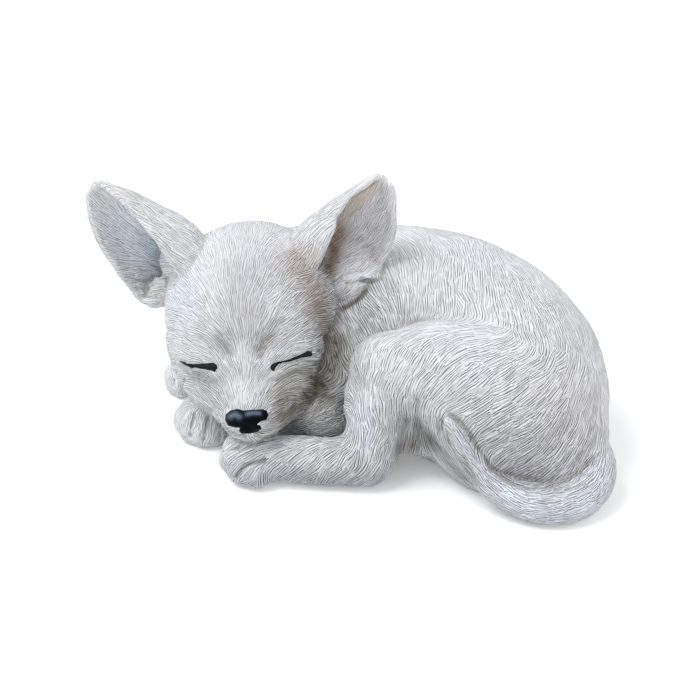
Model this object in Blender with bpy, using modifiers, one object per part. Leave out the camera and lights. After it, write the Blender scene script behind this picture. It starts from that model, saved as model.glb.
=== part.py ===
"""Sleeping dog garden statue: a hollow cast stone-resin figure of a small big-eared dog, curled up.

Metres, +Z up, the floor at z = 0. The figure is laid out with the face towards -Y and its long side along X,
and is moved at the end so that the origin is under the middle of its box.
"""

import math

import bmesh
import bpy
from mathutils import Matrix, Vector
from mathutils.bvhtree import BVHTree

# Main sizes: how high each ear's tip stands in the head's frame, how far ahead the tail lies, and how far
# back the trunk does
LEFT_EAR_RISE = 0.0680
RIGHT_EAR_RISE = 0.0750
TAIL_REACH = 0.0840
BACK_REACH = 0.0470

# Casting: wall of the hollow body, gap of every joint, grain and blend of the forms
WALL = 0.006
JOINT_GAP = 0.0003
FORM_VOXEL = 0.0022
FINE_VOXEL = 0.0012
CAVITY_VOXEL = 0.0045
BODY_BLEND = 18
HEAD_BLEND = 12
LIMB_BLEND = 6
FINE_BLEND = 3

# Triangles of each form
BODY_TRIANGLES = 3000
BODY_CAVITY_TRIANGLES = 700
HEAD_TRIANGLES = 1800
EAR_TRIANGLES = 620
LEG_TRIANGLES = 900
NEAR_PAW_TRIANGLES = 520
FAR_PAW_TRIANGLES = 420
TAIL_TRIANGLES = 700
NOSE_TRIANGLES = 320

# Base plate: oval in a rebate of the body's underside, and the stopper in its filling hole
PLATE_PLACE = (0.010, 0.036)
PLATE_TURN = math.radians(-6)
PLATE_LENGTH = 0.116
PLATE_WIDTH = 0.052
PLATE_THICKNESS = 0.003
PLATE_RECESS = 0.0006
LEDGE_WIDTH = 0.005
LEDGE_THICKNESS = 0.0035
OVAL_SIDES = 40
STOPPER_RADIUS = 0.0095
STOPPER_FLANGE_RADIUS = 0.0130
STOPPER_FLANGE = 0.0014
STOPPER_BEAD = 0.0012
STOPPER_BEAD_HEIGHT = 0.0030
STOPPER_SIDES = 24

# A place outside the figure, seen from its middle, and the depth of the block that trims it flat at the floor
OUTSIDE = 0.2
BLOCK_DEPTH = 0.06

# Locating pins in the glue joints: radius, and depth in each piece
PIN = (0.0015, 0.0045)
STOUT_PIN = (0.0025, 0.0070)
PIN_SIDES = 12

# Trunk, from the neck round to the root of the tail: x, y, z and radius
TRUNK = (
    (-0.056, BACK_REACH - 0.003, 0.053, 0.038),
    (-0.026, BACK_REACH, 0.053, 0.0435),
    (0.008, BACK_REACH - 0.006, 0.052, 0.0475),
    (0.042, BACK_REACH - 0.016, 0.051, 0.050),
    (0.062, 0.019, 0.049, 0.0505),
    (0.079, 0.001, 0.042, 0.051),
    (0.0885, -0.020, 0.033, 0.048),
    (0.094, -0.038, 0.020, 0.040),
)
UNDERBODY = (
    (-0.052, BACK_REACH - 0.003, 0.024, 0.033),
    (-0.020, BACK_REACH - 0.002, 0.024, 0.038),
    (0.020, BACK_REACH - 0.011, 0.024, 0.041),
    (0.058, 0.018, 0.024, 0.043),
    (0.082, -0.012, 0.022, 0.043),
)
UPPER_ARM = ((-0.010, -0.002, 0.037), (0.027, 0.027, 0.033))
SHOULDER_FUR = ((0.008, 0.030, 0.052), (0.026, 0.030, 0.036))
HAUNCH = ((0.080, -0.038, 0.034), (0.044, 0.040, 0.044))
TAIL_ROOT = ((0.110, -0.040, 0.026), (0.023, 0.024, 0.024))

# Belly, from inside the crook out to the fur beside the shank, then back below the thigh
BELLY = (
    (0.0340, -0.0150, 0.0150, 0.0150),
    (0.0325, -0.0365, 0.0245, 0.0130),
    (0.0450, -0.0290, 0.0180, 0.0165),
    (0.0560, -0.0335, 0.018, 0.0170),
    (0.0690, -0.0440, 0.020, 0.0180),
)

# Near hind leg, from hip to knee, then down to the hock and along the foot: x, y, z and radius
THIGH = (
    (0.090, -0.028, 0.038, 0.042),
    (0.064, -0.032, 0.048, 0.036),
    (0.040, -0.033, 0.056, 0.028),
    (0.019, -0.034, 0.0580, 0.0200),
)
SHANK = (
    (0.0185, -0.0347, 0.0555, 0.0184),
    (0.0125, -0.041, 0.040, 0.0170),
    (0.0105, -0.0475, 0.017, 0.0150),
)
FOOT = (
    (0.0090, -0.050, 0.0125, 0.0130),
    (-0.010, -0.049, 0.012, 0.0125),
    (-0.034, -0.046, 0.012, 0.0125),
    (-0.052, -0.044, 0.0110, 0.0115),
)
FOOT_TOES = (
    ((-0.0600, -0.0375, 0.0125), (0.0070, 0.0065, 0.0080)),
    ((-0.0610, -0.0450, 0.0100), (0.0075, 0.0065, 0.0085)),
    ((-0.0565, -0.0520, 0.0085), (0.0075, 0.0065, 0.0080)),
    ((-0.0480, -0.0560, 0.0080), (0.0080, 0.0060, 0.0075)),
)

# Front legs
NEAR_FOREARM = (
    (-0.014, -0.016, 0.024, 0.0205),
    (-0.044, -0.003, 0.0165, 0.0150),
    (-0.066, 0.002, 0.0150, 0.0130),
    (-0.0785, -0.0040, 0.0128, 0.0132),
)
NEAR_TOES = (
    ((-0.0895, -0.0040, 0.0085), (0.0065, 0.0070, 0.0090)),
    ((-0.0860, -0.0115, 0.0075), (0.0062, 0.0070, 0.0085)),
    ((-0.0785, -0.0160, 0.0070), (0.0062, 0.0070, 0.0080)),
    ((-0.0710, -0.0150, 0.0070), (0.0060, 0.0065, 0.0080)),
)
FAR_FOREARM = (
    (-0.040, 0.040, 0.022, 0.017),
    (-0.070, 0.042, 0.014, 0.0125),
    (-0.0905, 0.044, 0.0110, 0.0115),
)
FAR_TOES = (
    ((-0.1000, 0.0440, 0.0075), (0.0060, 0.0055, 0.0085)),
    ((-0.0990, 0.0380, 0.0070), (0.0060, 0.0052, 0.0080)),
    ((-0.0945, 0.0335, 0.0070), (0.0060, 0.0052, 0.0080)),
)

# Tail, from root to tip
TAIL = (
    (0.104, -0.044, 0.027, 0.018),
    (0.1215, -0.060, 0.017, 0.0140),
    (0.1165, 0.0085 - TAIL_REACH, 0.0112, 0.0118),
    (0.1010, -TAIL_REACH, 0.0098, 0.0104),
    (0.0860, 0.003 - TAIL_REACH, 0.0110, 0.0098),
    (0.0725, -0.0740, 0.0155, 0.0090),
    (0.0625, -0.0690, 0.0250, 0.0078),
    (0.0550, -0.0690, 0.0385, 0.0060),
    (0.0485, -0.0670, 0.0475, 0.0035),
)

# Head, in its own frame: x to the side, y to the back of the head, z up
HEAD_PLACE = (-0.0515, 0.010, 0.0715)
HEAD_PITCH = math.radians(14)
HEAD_ROLL = math.radians(3.5)
SKULL = ((0, 0, 0.001), (0.046, 0.046, 0.043))
CHEEK = (
    (0.0245, -0.004, -0.0190, 0.0240),
    (0.0205, -0.026, -0.0215, 0.0205),
    (0.0120, -0.043, -0.0235, 0.0165),
    (0.0040, -0.055, -0.0245, 0.0135),
)
EYEBALL = ((0.0215, -0.0305, -0.003), (0.0170, 0.014, 0.014))
MUZZLE = (
    (-0.0010, -0.020, -0.0110, 0.0330),
    (-0.0020, -0.036, -0.0185, 0.0250),
    (-0.0027, -0.050, -0.0225, 0.0185),
    (-0.0027, -0.0575, -0.0245, 0.0145),
)
JAW = (
    (0, -0.018, -0.030, 0.018),
    (-0.0027, -0.048, -0.0320, 0.0110),
)
HEAD_HOLLOW = ((-0.002, -0.022, -0.002), (0.034, 0.018, 0.027))
HOLLOW_SECTORS = 18
NECK_PORT_RADIUS = 0.007
NECK_DOWEL_OFFSET = (-0.020, 0, 0)

# Nose leather and closed eyes, about the middle line of the face
FACE_MIDDLE = -0.0027
NOSE_LOBE = ((0.0058, -0.0670, -0.0172), (0.0060, 0.0054, 0.0052))
NOSE_WING = ((0.0097, -0.0640, -0.0162), (0.0028, 0.0042, 0.0036))
NOSE_FOOT = ((0.0, -0.0676, -0.0216), (0.0066, 0.0040, 0.0040))
EYE_LINES = {
    1: ((0.0138, -0.0010, 0.0011), (0.0185, 0.0006, 0.0007), (0.0240, 0.0003, 0.0006),
        (0.0298, 0.0008, 0.0008), (0.0342, 0.0014, 0.0012)),
    -1: ((0.0145, -0.0036, 0.0015), (0.0185, -0.0032, 0.0013), (0.0240, -0.0020, 0.0008),
         (0.0295, -0.0026, 0.0009), (0.0338, -0.0048, 0.0008)),
}
EYE_SINK = 0.0004
EYE_ROUNDNESS = 1
EYE_STEPS = 3

# Ears: share of the length, half width to the outer and inner side, place of the free rim, cup depth
EAR_ROOT = {1: (0.0355, 0.006, 0.0200), -1: (0.0350, 0.006, 0.0235)}
EAR_TIP = {1: (0.0750, 0.016, LEFT_EAR_RISE), -1: (0.0755, 0.016, RIGHT_EAR_RISE)}
EAR_FACING = (0.20, -0.80, 0.55)
EAR_STATIONS = (
    (-0.20, 0.0240, 0.0180, 0.004, 0.012),
    (0.00, 0.0290, 0.0200, 0.002, 0.016),
    (0.14, 0.0285, 0.0200, -0.001, 0.016),
    (0.32, 0.0270, 0.0180, -0.004, 0.014),
    (0.50, 0.0250, 0.0140, -0.0050, 0.012),
    (0.66, 0.0210, 0.0105, -0.0050, 0.009),
    (0.80, 0.0155, 0.0075, -0.0042, 0.0065),
    (0.92, 0.0095, 0.0050, -0.0030, 0.004),
    (0.98, 0.0050, 0.0030, -0.0020, 0.002),
)
EAR_WALL = 0.0035
EAR_RIBS = 17
EAR_PLUG = (0.0120, 0.0110, 0.0115)
EAR_PLUG_BACK = 0.0085
EAR_FOLDS = {
    1: (((0.0520, 0.0085, 0.0165), (0.0130, 0.0070, 0.0065)), ((0.0520, 0.0000, 0.0095), (0.0095, 0.0065, 0.0090))),
    -1: (((0.0475, 0.0055, 0.0100), (0.0060, 0.0060, 0.0070)), ((0.0505, 0.0035, 0.0065), (0.0050, 0.0045, 0.0045))),
}

# Colours, as red, green and blue, with roughness and metallic value
CAST_STONE = ((0.60, 0.575, 0.53), 0.82, 0.0)
EAR_STONE = ((0.56, 0.53, 0.49), 0.82, 0.0)
NOSE_PAINT = ((0.012, 0.013, 0.017), 0.22, 0.0)
EYE_PAINT = ((0.015, 0.015, 0.018), 0.40, 0.0)
PLATE_RESIN = ((0.40, 0.38, 0.35), 0.75, 0.0)
STOPPER_RUBBER = ((0.05, 0.05, 0.05), 0.85, 0.0)
PIN_STEEL = ((0.55, 0.55, 0.56), 0.40, 1.0)


def clear_scene():
    for old in list(bpy.data.objects):
        bpy.data.objects.remove(old)


def mesh_data(name, mesh):
    """The bmesh as a mesh of its own."""
    data = bpy.data.meshes.new(name)
    mesh.to_mesh(data)
    mesh.free()
    return data


def linked(name, mesh):
    """An object in the scene, for its modifiers to be worked out."""
    data = mesh if isinstance(mesh, bpy.types.Mesh) else mesh_data(name, mesh)
    made = bpy.data.objects.new(name, data)
    bpy.context.scene.collection.objects.link(made)
    return made


def settled(made):
    """The finished mesh of an object with its modifiers or its bevel; the object is removed."""
    graph = bpy.context.evaluated_depsgraph_get()
    data = bpy.data.meshes.new_from_object(made.evaluated_get(graph))
    bpy.data.objects.remove(made)
    return data


def ball(mesh, form, side=1, sectors=32):
    """Adds an ellipsoid, given as its centre and radii, to a bmesh; side -1 puts it on the other side."""
    (x, y, z), radii = form
    place = Matrix.Translation((side * x, y, z)) @ Matrix.Diagonal((*radii, 1))
    bmesh.ops.create_uvsphere(mesh, u_segments=sectors, v_segments=sectors * 5 // 8, radius=1, matrix=place)


def limb(mesh, route, side=1, roundness=14, steps=12, ends=True):
    """Adds a tapered limb along a smooth curve, given as x, y, z and radius, with round ends or flat ones."""
    curve = bpy.data.curves.new("limb", "CURVE")
    curve.dimensions = "3D"
    curve.bevel_depth = 1
    curve.bevel_resolution = roundness
    curve.resolution_u = steps
    curve.use_fill_caps = True
    spline = curve.splines.new("BEZIER")
    spline.bezier_points.add(len(route) - 1)
    spline.radius_interpolation = "CARDINAL"
    for point, (x, y, z, radius) in zip(spline.bezier_points, route):
        point.co = (side * x, y, z)
        point.radius = radius
        point.handle_left_type = "AUTO"
        point.handle_right_type = "AUTO"
    guide = bpy.data.objects.new("limb", curve)
    bpy.context.scene.collection.objects.link(guide)
    mesh.from_mesh(settled(guide))
    if ends:
        for x, y, z, radius in (route[0], route[-1]):
            ball(mesh, ((x, y, z), (radius,) * 3), side)


def cast(fill, triangles, voxel=FORM_VOXEL, rounds=LIMB_BLEND, place=None):
    """One smooth form of overlapping solids: they are fused, their creases eased and the skin thinned."""
    mesh = bmesh.new()
    fill(mesh)
    made = linked("form", mesh)
    if place:
        made.data.transform(place)
    fuse = made.modifiers.new("fuse", "REMESH")
    fuse.mode = "VOXEL"
    fuse.voxel_size = voxel
    ease = made.modifiers.new("ease", "SMOOTH")
    ease.factor = 0.5
    ease.iterations = rounds
    dense = settled(made)
    count = sum(len(face.vertices) - 2 for face in dense.polygons)
    made = linked("form", dense)
    thin = made.modifiers.new("thin", "DECIMATE")
    thin.ratio = min(1, triangles / count)
    thin.use_collapse_triangulate = True
    return settled(made)


def fill_body(mesh):
    limb(mesh, TRUNK)
    limb(mesh, UNDERBODY)
    limb(mesh, THIGH)
    limb(mesh, BELLY)
    for form in (UPPER_ARM, SHOULDER_FUR, HAUNCH, TAIL_ROOT):
        ball(mesh, form)


def fill_body_cavity(mesh):
    """The body's hollow: the same trunk, smaller all round by the wall."""
    for route in (TRUNK, UNDERBODY):
        limb(mesh, [(x, y, z, radius - WALL) for x, y, z, radius in route])
    centre, radii = HAUNCH
    ball(mesh, (centre, [radius - WALL for radius in radii]))


def fill_paw(mesh, route, toes):
    limb(mesh, route)
    for toe in toes:
        ball(mesh, toe)


def fill_leg(mesh):
    limb(mesh, SHANK)
    fill_paw(mesh, FOOT, FOOT_TOES)


def fill_head(mesh):
    ball(mesh, SKULL)
    for side in (-1, 1):
        limb(mesh, CHEEK, side)
        ball(mesh, EYEBALL, side)
    limb(mesh, MUZZLE)
    limb(mesh, JAW)


def fill_nose(mesh):
    """Two lobes with their wings, and the part below them, about the middle line of the face."""
    for side in (-1, 1):
        for (x, y, z), radii in (NOSE_LOBE, NOSE_WING):
            ball(mesh, ((FACE_MIDDLE + side * x, y, z), radii))
    (x, y, z), radii = NOSE_FOOT
    ball(mesh, ((FACE_MIDDLE + x, y, z), radii))


def ear_axes(side):
    """The ear's root, its axis to the tip, and the directions across and ahead of its cup, on the +X side."""
    root = Vector(EAR_ROOT[side])
    axis = Vector(EAR_TIP[side]) - root
    up = axis.normalized()
    out = up.cross(Vector(EAR_FACING)).normalized()
    if out.x < 0:
        out = -out
    ahead = up.cross(out)
    if ahead.y > 0:
        ahead = -ahead
    return root, axis, out, ahead


def cup(side):
    """The ear's cup: at each station an arc of an ellipse, open to the front and outer side, made a wall."""
    root, axis, out, ahead = ear_axes(side)
    mesh = bmesh.new()
    rows = []
    for share, outer, inner, rim, depth in EAR_STATIONS:
        row = []
        middle = (outer - inner) / 2
        half = (outer + inner) / 2
        sweep = 2 * math.pi - math.acos((rim - middle) / half)
        for rib in range(EAR_RIBS):
            turn = -sweep * rib / (EAR_RIBS - 1)
            across = middle + half * math.cos(turn)
            forward = depth * math.sin(turn)
            spot = root + axis * share + out * across + ahead * forward
            row.append(mesh.verts.new((side * spot.x, spot.y, spot.z)))
        rows.append(row)
    for low, high in zip(rows, rows[1:]):
        for rib in range(EAR_RIBS - 1):
            mesh.faces.new((low[rib], low[rib + 1], high[rib + 1], high[rib]))
    bmesh.ops.recalc_face_normals(mesh, faces=mesh.faces)
    made = linked("cup", mesh)
    wall = made.modifiers.new("wall", "SOLIDIFY")
    wall.thickness = EAR_WALL
    wall.offset = 0
    soft = made.modifiers.new("soft", "SUBSURF")
    soft.levels = 1
    soft.render_levels = 1
    return settled(made)


def ear_plug_middle(side):
    root, axis, out, ahead = ear_axes(side)
    return root - ahead * EAR_PLUG_BACK


def fill_ear(mesh, side):
    """The cup, the solid root that fills its foot, and the folds below its opening."""
    mesh.from_mesh(cup(side))
    for form in ((ear_plug_middle(side), EAR_PLUG), *EAR_FOLDS[side]):
        ball(mesh, form, side)


def head_frame():
    """Carries the head's own frame into the figure's."""
    pitch = Matrix.Rotation(HEAD_PITCH, 4, "X")
    roll = Matrix.Rotation(-HEAD_ROLL, 4, "Y")
    return Matrix.Translation(HEAD_PLACE) @ roll @ pitch


def material(name, look):
    colour, roughness, metallic = look
    made = bpy.data.materials.new(name)
    made.use_nodes = True
    shader = made.node_tree.nodes["Principled BSDF"]
    shader.inputs["Base Color"].default_value = (*colour, 1)
    shader.inputs["Roughness"].default_value = roughness
    shader.inputs["Metallic"].default_value = metallic
    made.diffuse_color = (*colour, 1)
    return made


def skin(data):
    """A mesh as a tree that rays can be cast on."""
    corners = [vertex.co for vertex in data.vertices]
    return BVHTree.FromPolygons(corners, [face.vertices for face in data.polygons])


def rod(start, end, radius):
    """A round rod between two points."""
    mesh = bmesh.new()
    axis = end - start
    turn = axis.to_track_quat("Z", "Y").to_matrix().to_4x4()
    shape = Matrix.Diagonal((radius, radius, axis.length, 1))
    place = Matrix.Translation((start + end) / 2) @ turn @ shape
    bmesh.ops.create_cone(
        mesh, cap_ends=True, segments=PIN_SIDES, radius1=1, radius2=1, depth=1, matrix=place
    )
    return mesh_data("rod", mesh)


class Figure:
    """The statue's pieces and cutters, all carried by one empty."""

    def __init__(self):
        self.pieces = bpy.data.collections.new("sleeping_dog_statue")
        self.cutters = bpy.data.collections.new("cutters")
        for group in (self.pieces, self.cutters):
            bpy.context.scene.collection.children.link(group)
        self.stand = bpy.data.objects.new("statue_origin", None)
        self.pieces.objects.link(self.stand)
        self.floor = self.block("floor_trim", 0)

    def piece(self, name, data, look):
        made = bpy.data.objects.new(name, data)
        data.materials.clear()
        data.materials.append(material(name, look))
        data.shade_smooth()
        made.parent = self.stand
        self.pieces.objects.link(made)
        return made

    def cutter(self, name, data, grow=0.0):
        """A cutter, grown all round by the gap that its joint keeps."""
        made = bpy.data.objects.new(name, data)
        made.parent = self.stand
        made.hide_render = True
        made.display_type = "WIRE"
        self.cutters.objects.link(made)
        if grow:
            gap = made.modifiers.new("gap", "DISPLACE")
            gap.strength = grow
            gap.mid_level = 0
        return made

    def block(self, name, top):
        """A cutter that takes all below a height."""
        mesh = bmesh.new()
        place = Matrix.Translation((0, 0, top - BLOCK_DEPTH / 2))
        size = Matrix.Diagonal((2 * OUTSIDE, 2 * OUTSIDE, BLOCK_DEPTH, 1))
        bmesh.ops.create_cube(mesh, size=1, matrix=place @ size)
        return self.cutter(name, mesh_data(name, mesh))

    def pin(self, name, host, line, size, holders):
        """A pin centred where a line crosses the host's skin, in a hole in each of its holders."""
        start, toward = (Vector(spot) for spot in line)
        radius, depth = size
        direction = (toward - start).normalized()
        middle = host.ray_cast(start, direction)[0]
        reach = direction * depth
        self.piece(name, rod(middle - reach, middle + reach, radius), PIN_STEEL)
        reach = direction * (depth + JOINT_GAP)
        hole = self.cutter(name + "_hole", rod(middle - reach, middle + reach, radius + JOINT_GAP))
        for holder in holders:
            cut(holder, hole)


def cut(made, tool):
    take = made.modifiers.new(tool.name, "BOOLEAN")
    take.operation = "DIFFERENCE"
    take.object = tool


def oval(length, width, low, high):
    """An upright oval disc under the trunk."""
    mesh = bmesh.new()
    place = Matrix.Translation((*PLATE_PLACE, (low + high) / 2)) @ Matrix.Rotation(PLATE_TURN, 4, "Z")
    shape = Matrix.Diagonal((length, width, high - low, 1))
    bmesh.ops.create_cone(
        mesh, cap_ends=True, segments=OVAL_SIDES, radius1=0.5, radius2=0.5, depth=1, matrix=place @ shape
    )
    return mesh_data("oval", mesh)


def turned(name, profile, sides):
    """A turned solid about the plate's middle: the profile runs down its outer side, top to bottom."""
    mesh = bmesh.new()
    spots = [mesh.verts.new((radius, 0, height)) for radius, height in profile]
    for first, second in zip(spots, spots[1:]):
        mesh.edges.new((first, second))
    made = linked(name, mesh)
    made.location = (*PLATE_PLACE, 0)
    spin = made.modifiers.new("turn", "SCREW")
    spin.steps = sides
    spin.render_steps = sides
    spin.use_merge_vertices = True
    spin.merge_threshold = 0.00001
    data = settled(made)
    data.transform(Matrix.Translation((*PLATE_PLACE, 0)))
    return data


def eye_line(side, face):
    """The painted line of a closed eye: a thin tube laid along the face, half sunk in it."""
    frame = head_frame()
    ahead = (frame.to_3x3() @ Vector((0, 1, 0))).normalized()
    route = []
    for across, height, radius in EYE_LINES[side]:
        start = frame @ Vector((FACE_MIDDLE + side * across, -OUTSIDE, height))
        spot = face.ray_cast(start, ahead)[0] + ahead * EYE_SINK
        route.append((*spot, radius))
    mesh = bmesh.new()
    limb(mesh, route, roundness=EYE_ROUNDNESS, steps=EYE_STEPS, ends=False)
    bmesh.ops.remove_doubles(mesh, verts=mesh.verts, dist=0.00001)
    return mesh_data("eye_line", mesh)


def add_base(figure, body):
    """The plate in its rebate under the body, and the stopper in the plate's hole."""
    plate_top = PLATE_RECESS + PLATE_THICKNESS
    ledge_top = plate_top + JOINT_GAP + LEDGE_THICKNESS
    slack = 2 * JOINT_GAP
    rebate = oval(PLATE_LENGTH + slack, PLATE_WIDTH + slack, -BLOCK_DEPTH, plate_top + JOINT_GAP)
    mouth = oval(PLATE_LENGTH - 2 * LEDGE_WIDTH, PLATE_WIDTH - 2 * LEDGE_WIDTH, -BLOCK_DEPTH, 2 * ledge_top)
    cut(body, figure.cutter("plate_rebate", rebate))
    cut(body, figure.cutter("body_mouth", mouth))
    plate_form = oval(PLATE_LENGTH, PLATE_WIDTH, PLATE_RECESS, plate_top)
    plate = figure.piece("base_plate", plate_form, PLATE_RESIN)
    seat = PLATE_RECESS + STOPPER_FLANGE
    hole = turned("stopper_hole", (
        (0, plate_top + STOPPER_FLANGE),
        (STOPPER_RADIUS + JOINT_GAP, plate_top + STOPPER_FLANGE),
        (STOPPER_RADIUS + JOINT_GAP, seat + JOINT_GAP),
        (STOPPER_FLANGE_RADIUS + JOINT_GAP, seat + JOINT_GAP),
        (STOPPER_FLANGE_RADIUS + JOINT_GAP, -STOPPER_FLANGE),
        (0, -STOPPER_FLANGE),
    ), STOPPER_SIDES)
    cut(plate, figure.cutter("stopper_hole", hole))
    bead = plate_top + JOINT_GAP
    figure.piece("filler_stopper", turned("filler_stopper", (
        (0, bead + STOPPER_BEAD_HEIGHT),
        (STOPPER_RADIUS - STOPPER_BEAD, bead + STOPPER_BEAD_HEIGHT),
        (STOPPER_RADIUS + STOPPER_BEAD, bead + STOPPER_BEAD_HEIGHT / 2),
        (STOPPER_RADIUS + STOPPER_BEAD, bead),
        (STOPPER_RADIUS, bead),
        (STOPPER_RADIUS, seat),
        (STOPPER_FLANGE_RADIUS, seat),
        (STOPPER_FLANGE_RADIUS, PLATE_RECESS),
        (0, PLATE_RECESS),
    ), STOPPER_SIDES), STOPPER_RUBBER)


def add_body(figure, form):
    """The trunk with its shoulder, haunch and thigh, hollow above a flat floor, and the plate under it."""
    body = figure.piece("body_casting", form, CAST_STONE)
    hollow = figure.cutter("body_hollow", cast(fill_body_cavity, BODY_CAVITY_TRIANGLES, voxel=CAVITY_VOXEL))
    cut(hollow, figure.block("hollow_trim", PLATE_RECESS + PLATE_THICKNESS + JOINT_GAP + LEDGE_THICKNESS))
    cut(body, figure.floor)
    cut(body, hollow)
    add_base(figure, body)
    return body


def add_limb(figure, name, form, joints):
    """A leg, paw or tail: cut by the pieces that it joins, and flat on the floor."""
    made = figure.piece(name, form, CAST_STONE)
    for joint in joints:
        cut(made, joint)
    cut(made, figure.floor)
    return made


def add_head(figure, form, body, joints):
    """The head, cut by what it lies on, with its hollow and the port that joins it to the body's."""
    frame = head_frame()
    head = figure.piece("head_casting", form, CAST_STONE)
    for joint in joints:
        cut(head, joint)
    mesh = bmesh.new()
    ball(mesh, HEAD_HOLLOW, sectors=HOLLOW_SECTORS)
    hollow = mesh_data("head_hollow", mesh)
    hollow.transform(frame)
    cut(head, figure.cutter("head_hollow", hollow))
    port = figure.cutter("neck_port", rod(*neck_line(), NECK_PORT_RADIUS))
    cut(head, port)
    cut(body, port)
    return head


def neck_line():
    """From the middle of the neck to the middle of the head's hollow."""
    return Vector(TRUNK[0][:3]), head_frame() @ Vector(HEAD_HOLLOW[0])


def add_face(figure, head, head_skin):
    """The painted nose and eye lines, each in its own seat in the head."""
    nose = cast(fill_nose, NOSE_TRIANGLES, voxel=FINE_VOXEL, rounds=FINE_BLEND, place=head_frame())
    cut(head, figure.cutter("nose_seat", nose.copy(), JOINT_GAP))
    figure.piece("nose", nose, NOSE_PAINT)
    for side, name in ((1, "left_eye_line"), (-1, "right_eye_line")):
        line = eye_line(side, head_skin)
        cut(head, figure.cutter(name + "_groove", line.copy(), JOINT_GAP))
        figure.piece(name, line, EYE_PAINT)


def add_ear(figure, side, name, joints, head, head_skin):
    """An ear, cut by the head and body, with the pin in its solid root."""
    frame = head_frame()
    form = cast(
        lambda mesh: fill_ear(mesh, side), EAR_TRIANGLES, voxel=FINE_VOXEL, rounds=FINE_BLEND, place=frame
    )
    ear = figure.piece(name, form, EAR_STONE)
    for joint in joints:
        cut(ear, joint)
    middle = ear_plug_middle(side)
    start = middle + ear_axes(side)[1]
    line = [frame @ Vector((side * spot.x, spot.y, spot.z)) for spot in (start, middle)]
    figure.pin(name + "_pin", head_skin, line, PIN, (ear, head))


def centre(figure):
    """Moves the figure so that the origin is under the middle of its box."""
    graph = bpy.context.evaluated_depsgraph_get()
    spots = []
    for made in figure.pieces.objects:
        if made.type == "MESH":
            spots += [vertex.co for vertex in made.evaluated_get(graph).data.vertices]
    middle = [(min(spot[i] for spot in spots) + max(spot[i] for spot in spots)) / 2 for i in range(2)]
    figure.stand.location = (-middle[0], -middle[1], 0)


def build():
    clear_scene()
    figure = Figure()
    body_form = cast(fill_body, BODY_TRIANGLES, rounds=BODY_BLEND)
    head_form = cast(fill_head, HEAD_TRIANGLES, rounds=HEAD_BLEND, place=head_frame())
    leg_form = cast(fill_leg, LEG_TRIANGLES)
    near_paw_form = cast(lambda mesh: fill_paw(mesh, NEAR_FOREARM, NEAR_TOES), NEAR_PAW_TRIANGLES)
    far_paw_form = cast(lambda mesh: fill_paw(mesh, FAR_FOREARM, FAR_TOES), FAR_PAW_TRIANGLES)
    tail_form = cast(lambda mesh: limb(mesh, TAIL), TAIL_TRIANGLES)
    body_skin = skin(body_form)
    head_skin = skin(head_form)

    body_joint = figure.cutter("body_joint", body_form.copy(), JOINT_GAP)
    head_joint = figure.cutter("head_joint", head_form.copy(), JOINT_GAP)
    leg_joint = figure.cutter("leg_joint", leg_form.copy(), JOINT_GAP)
    near_joint = figure.cutter("near_paw_joint", near_paw_form.copy(), JOINT_GAP)
    far_joint = figure.cutter("far_paw_joint", far_paw_form.copy(), JOINT_GAP)

    body = add_body(figure, body_form)
    leg = add_limb(figure, "near_hind_leg", leg_form, [body_joint])
    near_paw = add_limb(figure, "near_forepaw", near_paw_form, [body_joint, leg_joint])
    far_paw = add_limb(figure, "far_forepaw", far_paw_form, [body_joint])
    tail = add_limb(figure, "tail", tail_form, [body_joint])
    head = add_head(figure, head_form, body, [near_joint, far_joint, leg_joint, body_joint])
    add_face(figure, head, head_skin)
    add_ear(figure, 1, "left_ear", [head_joint, body_joint], head, head_skin)
    add_ear(figure, -1, "right_ear", [head_joint, body_joint], head, head_skin)

    neck, hollow = (spot + Vector(NECK_DOWEL_OFFSET) for spot in neck_line())
    figure.pin("neck_dowel", body_skin, (hollow, neck), STOUT_PIN, (head, body))
    figure.pin("hind_leg_pin", body_skin, (SHANK[2][:3], THIGH[3][:3]), STOUT_PIN, (leg, body))
    forearm = (NEAR_FOREARM[1][:3], NEAR_FOREARM[0][:3])
    figure.pin("near_forepaw_pin", body_skin, forearm, STOUT_PIN, (near_paw, body))
    figure.pin("far_forepaw_pin", body_skin, (FAR_FOREARM[2][:3], FAR_FOREARM[1][:3]), PIN, (far_paw, body))
    figure.pin("tail_pin", body_skin, (TAIL[2][:3], TAIL[0][:3]), STOUT_PIN, (tail, body))
    centre(figure)
    return figure


FIGURE = build()
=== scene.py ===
"""Sleeping dog garden statue, finished: carved coat, painted nose and closed eyes, floor, lamps and camera."""
import math
from contextlib import contextmanager

import bmesh
import bpy
import numpy as np
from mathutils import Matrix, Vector
from mathutils.bvhtree import BVHTree


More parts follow.
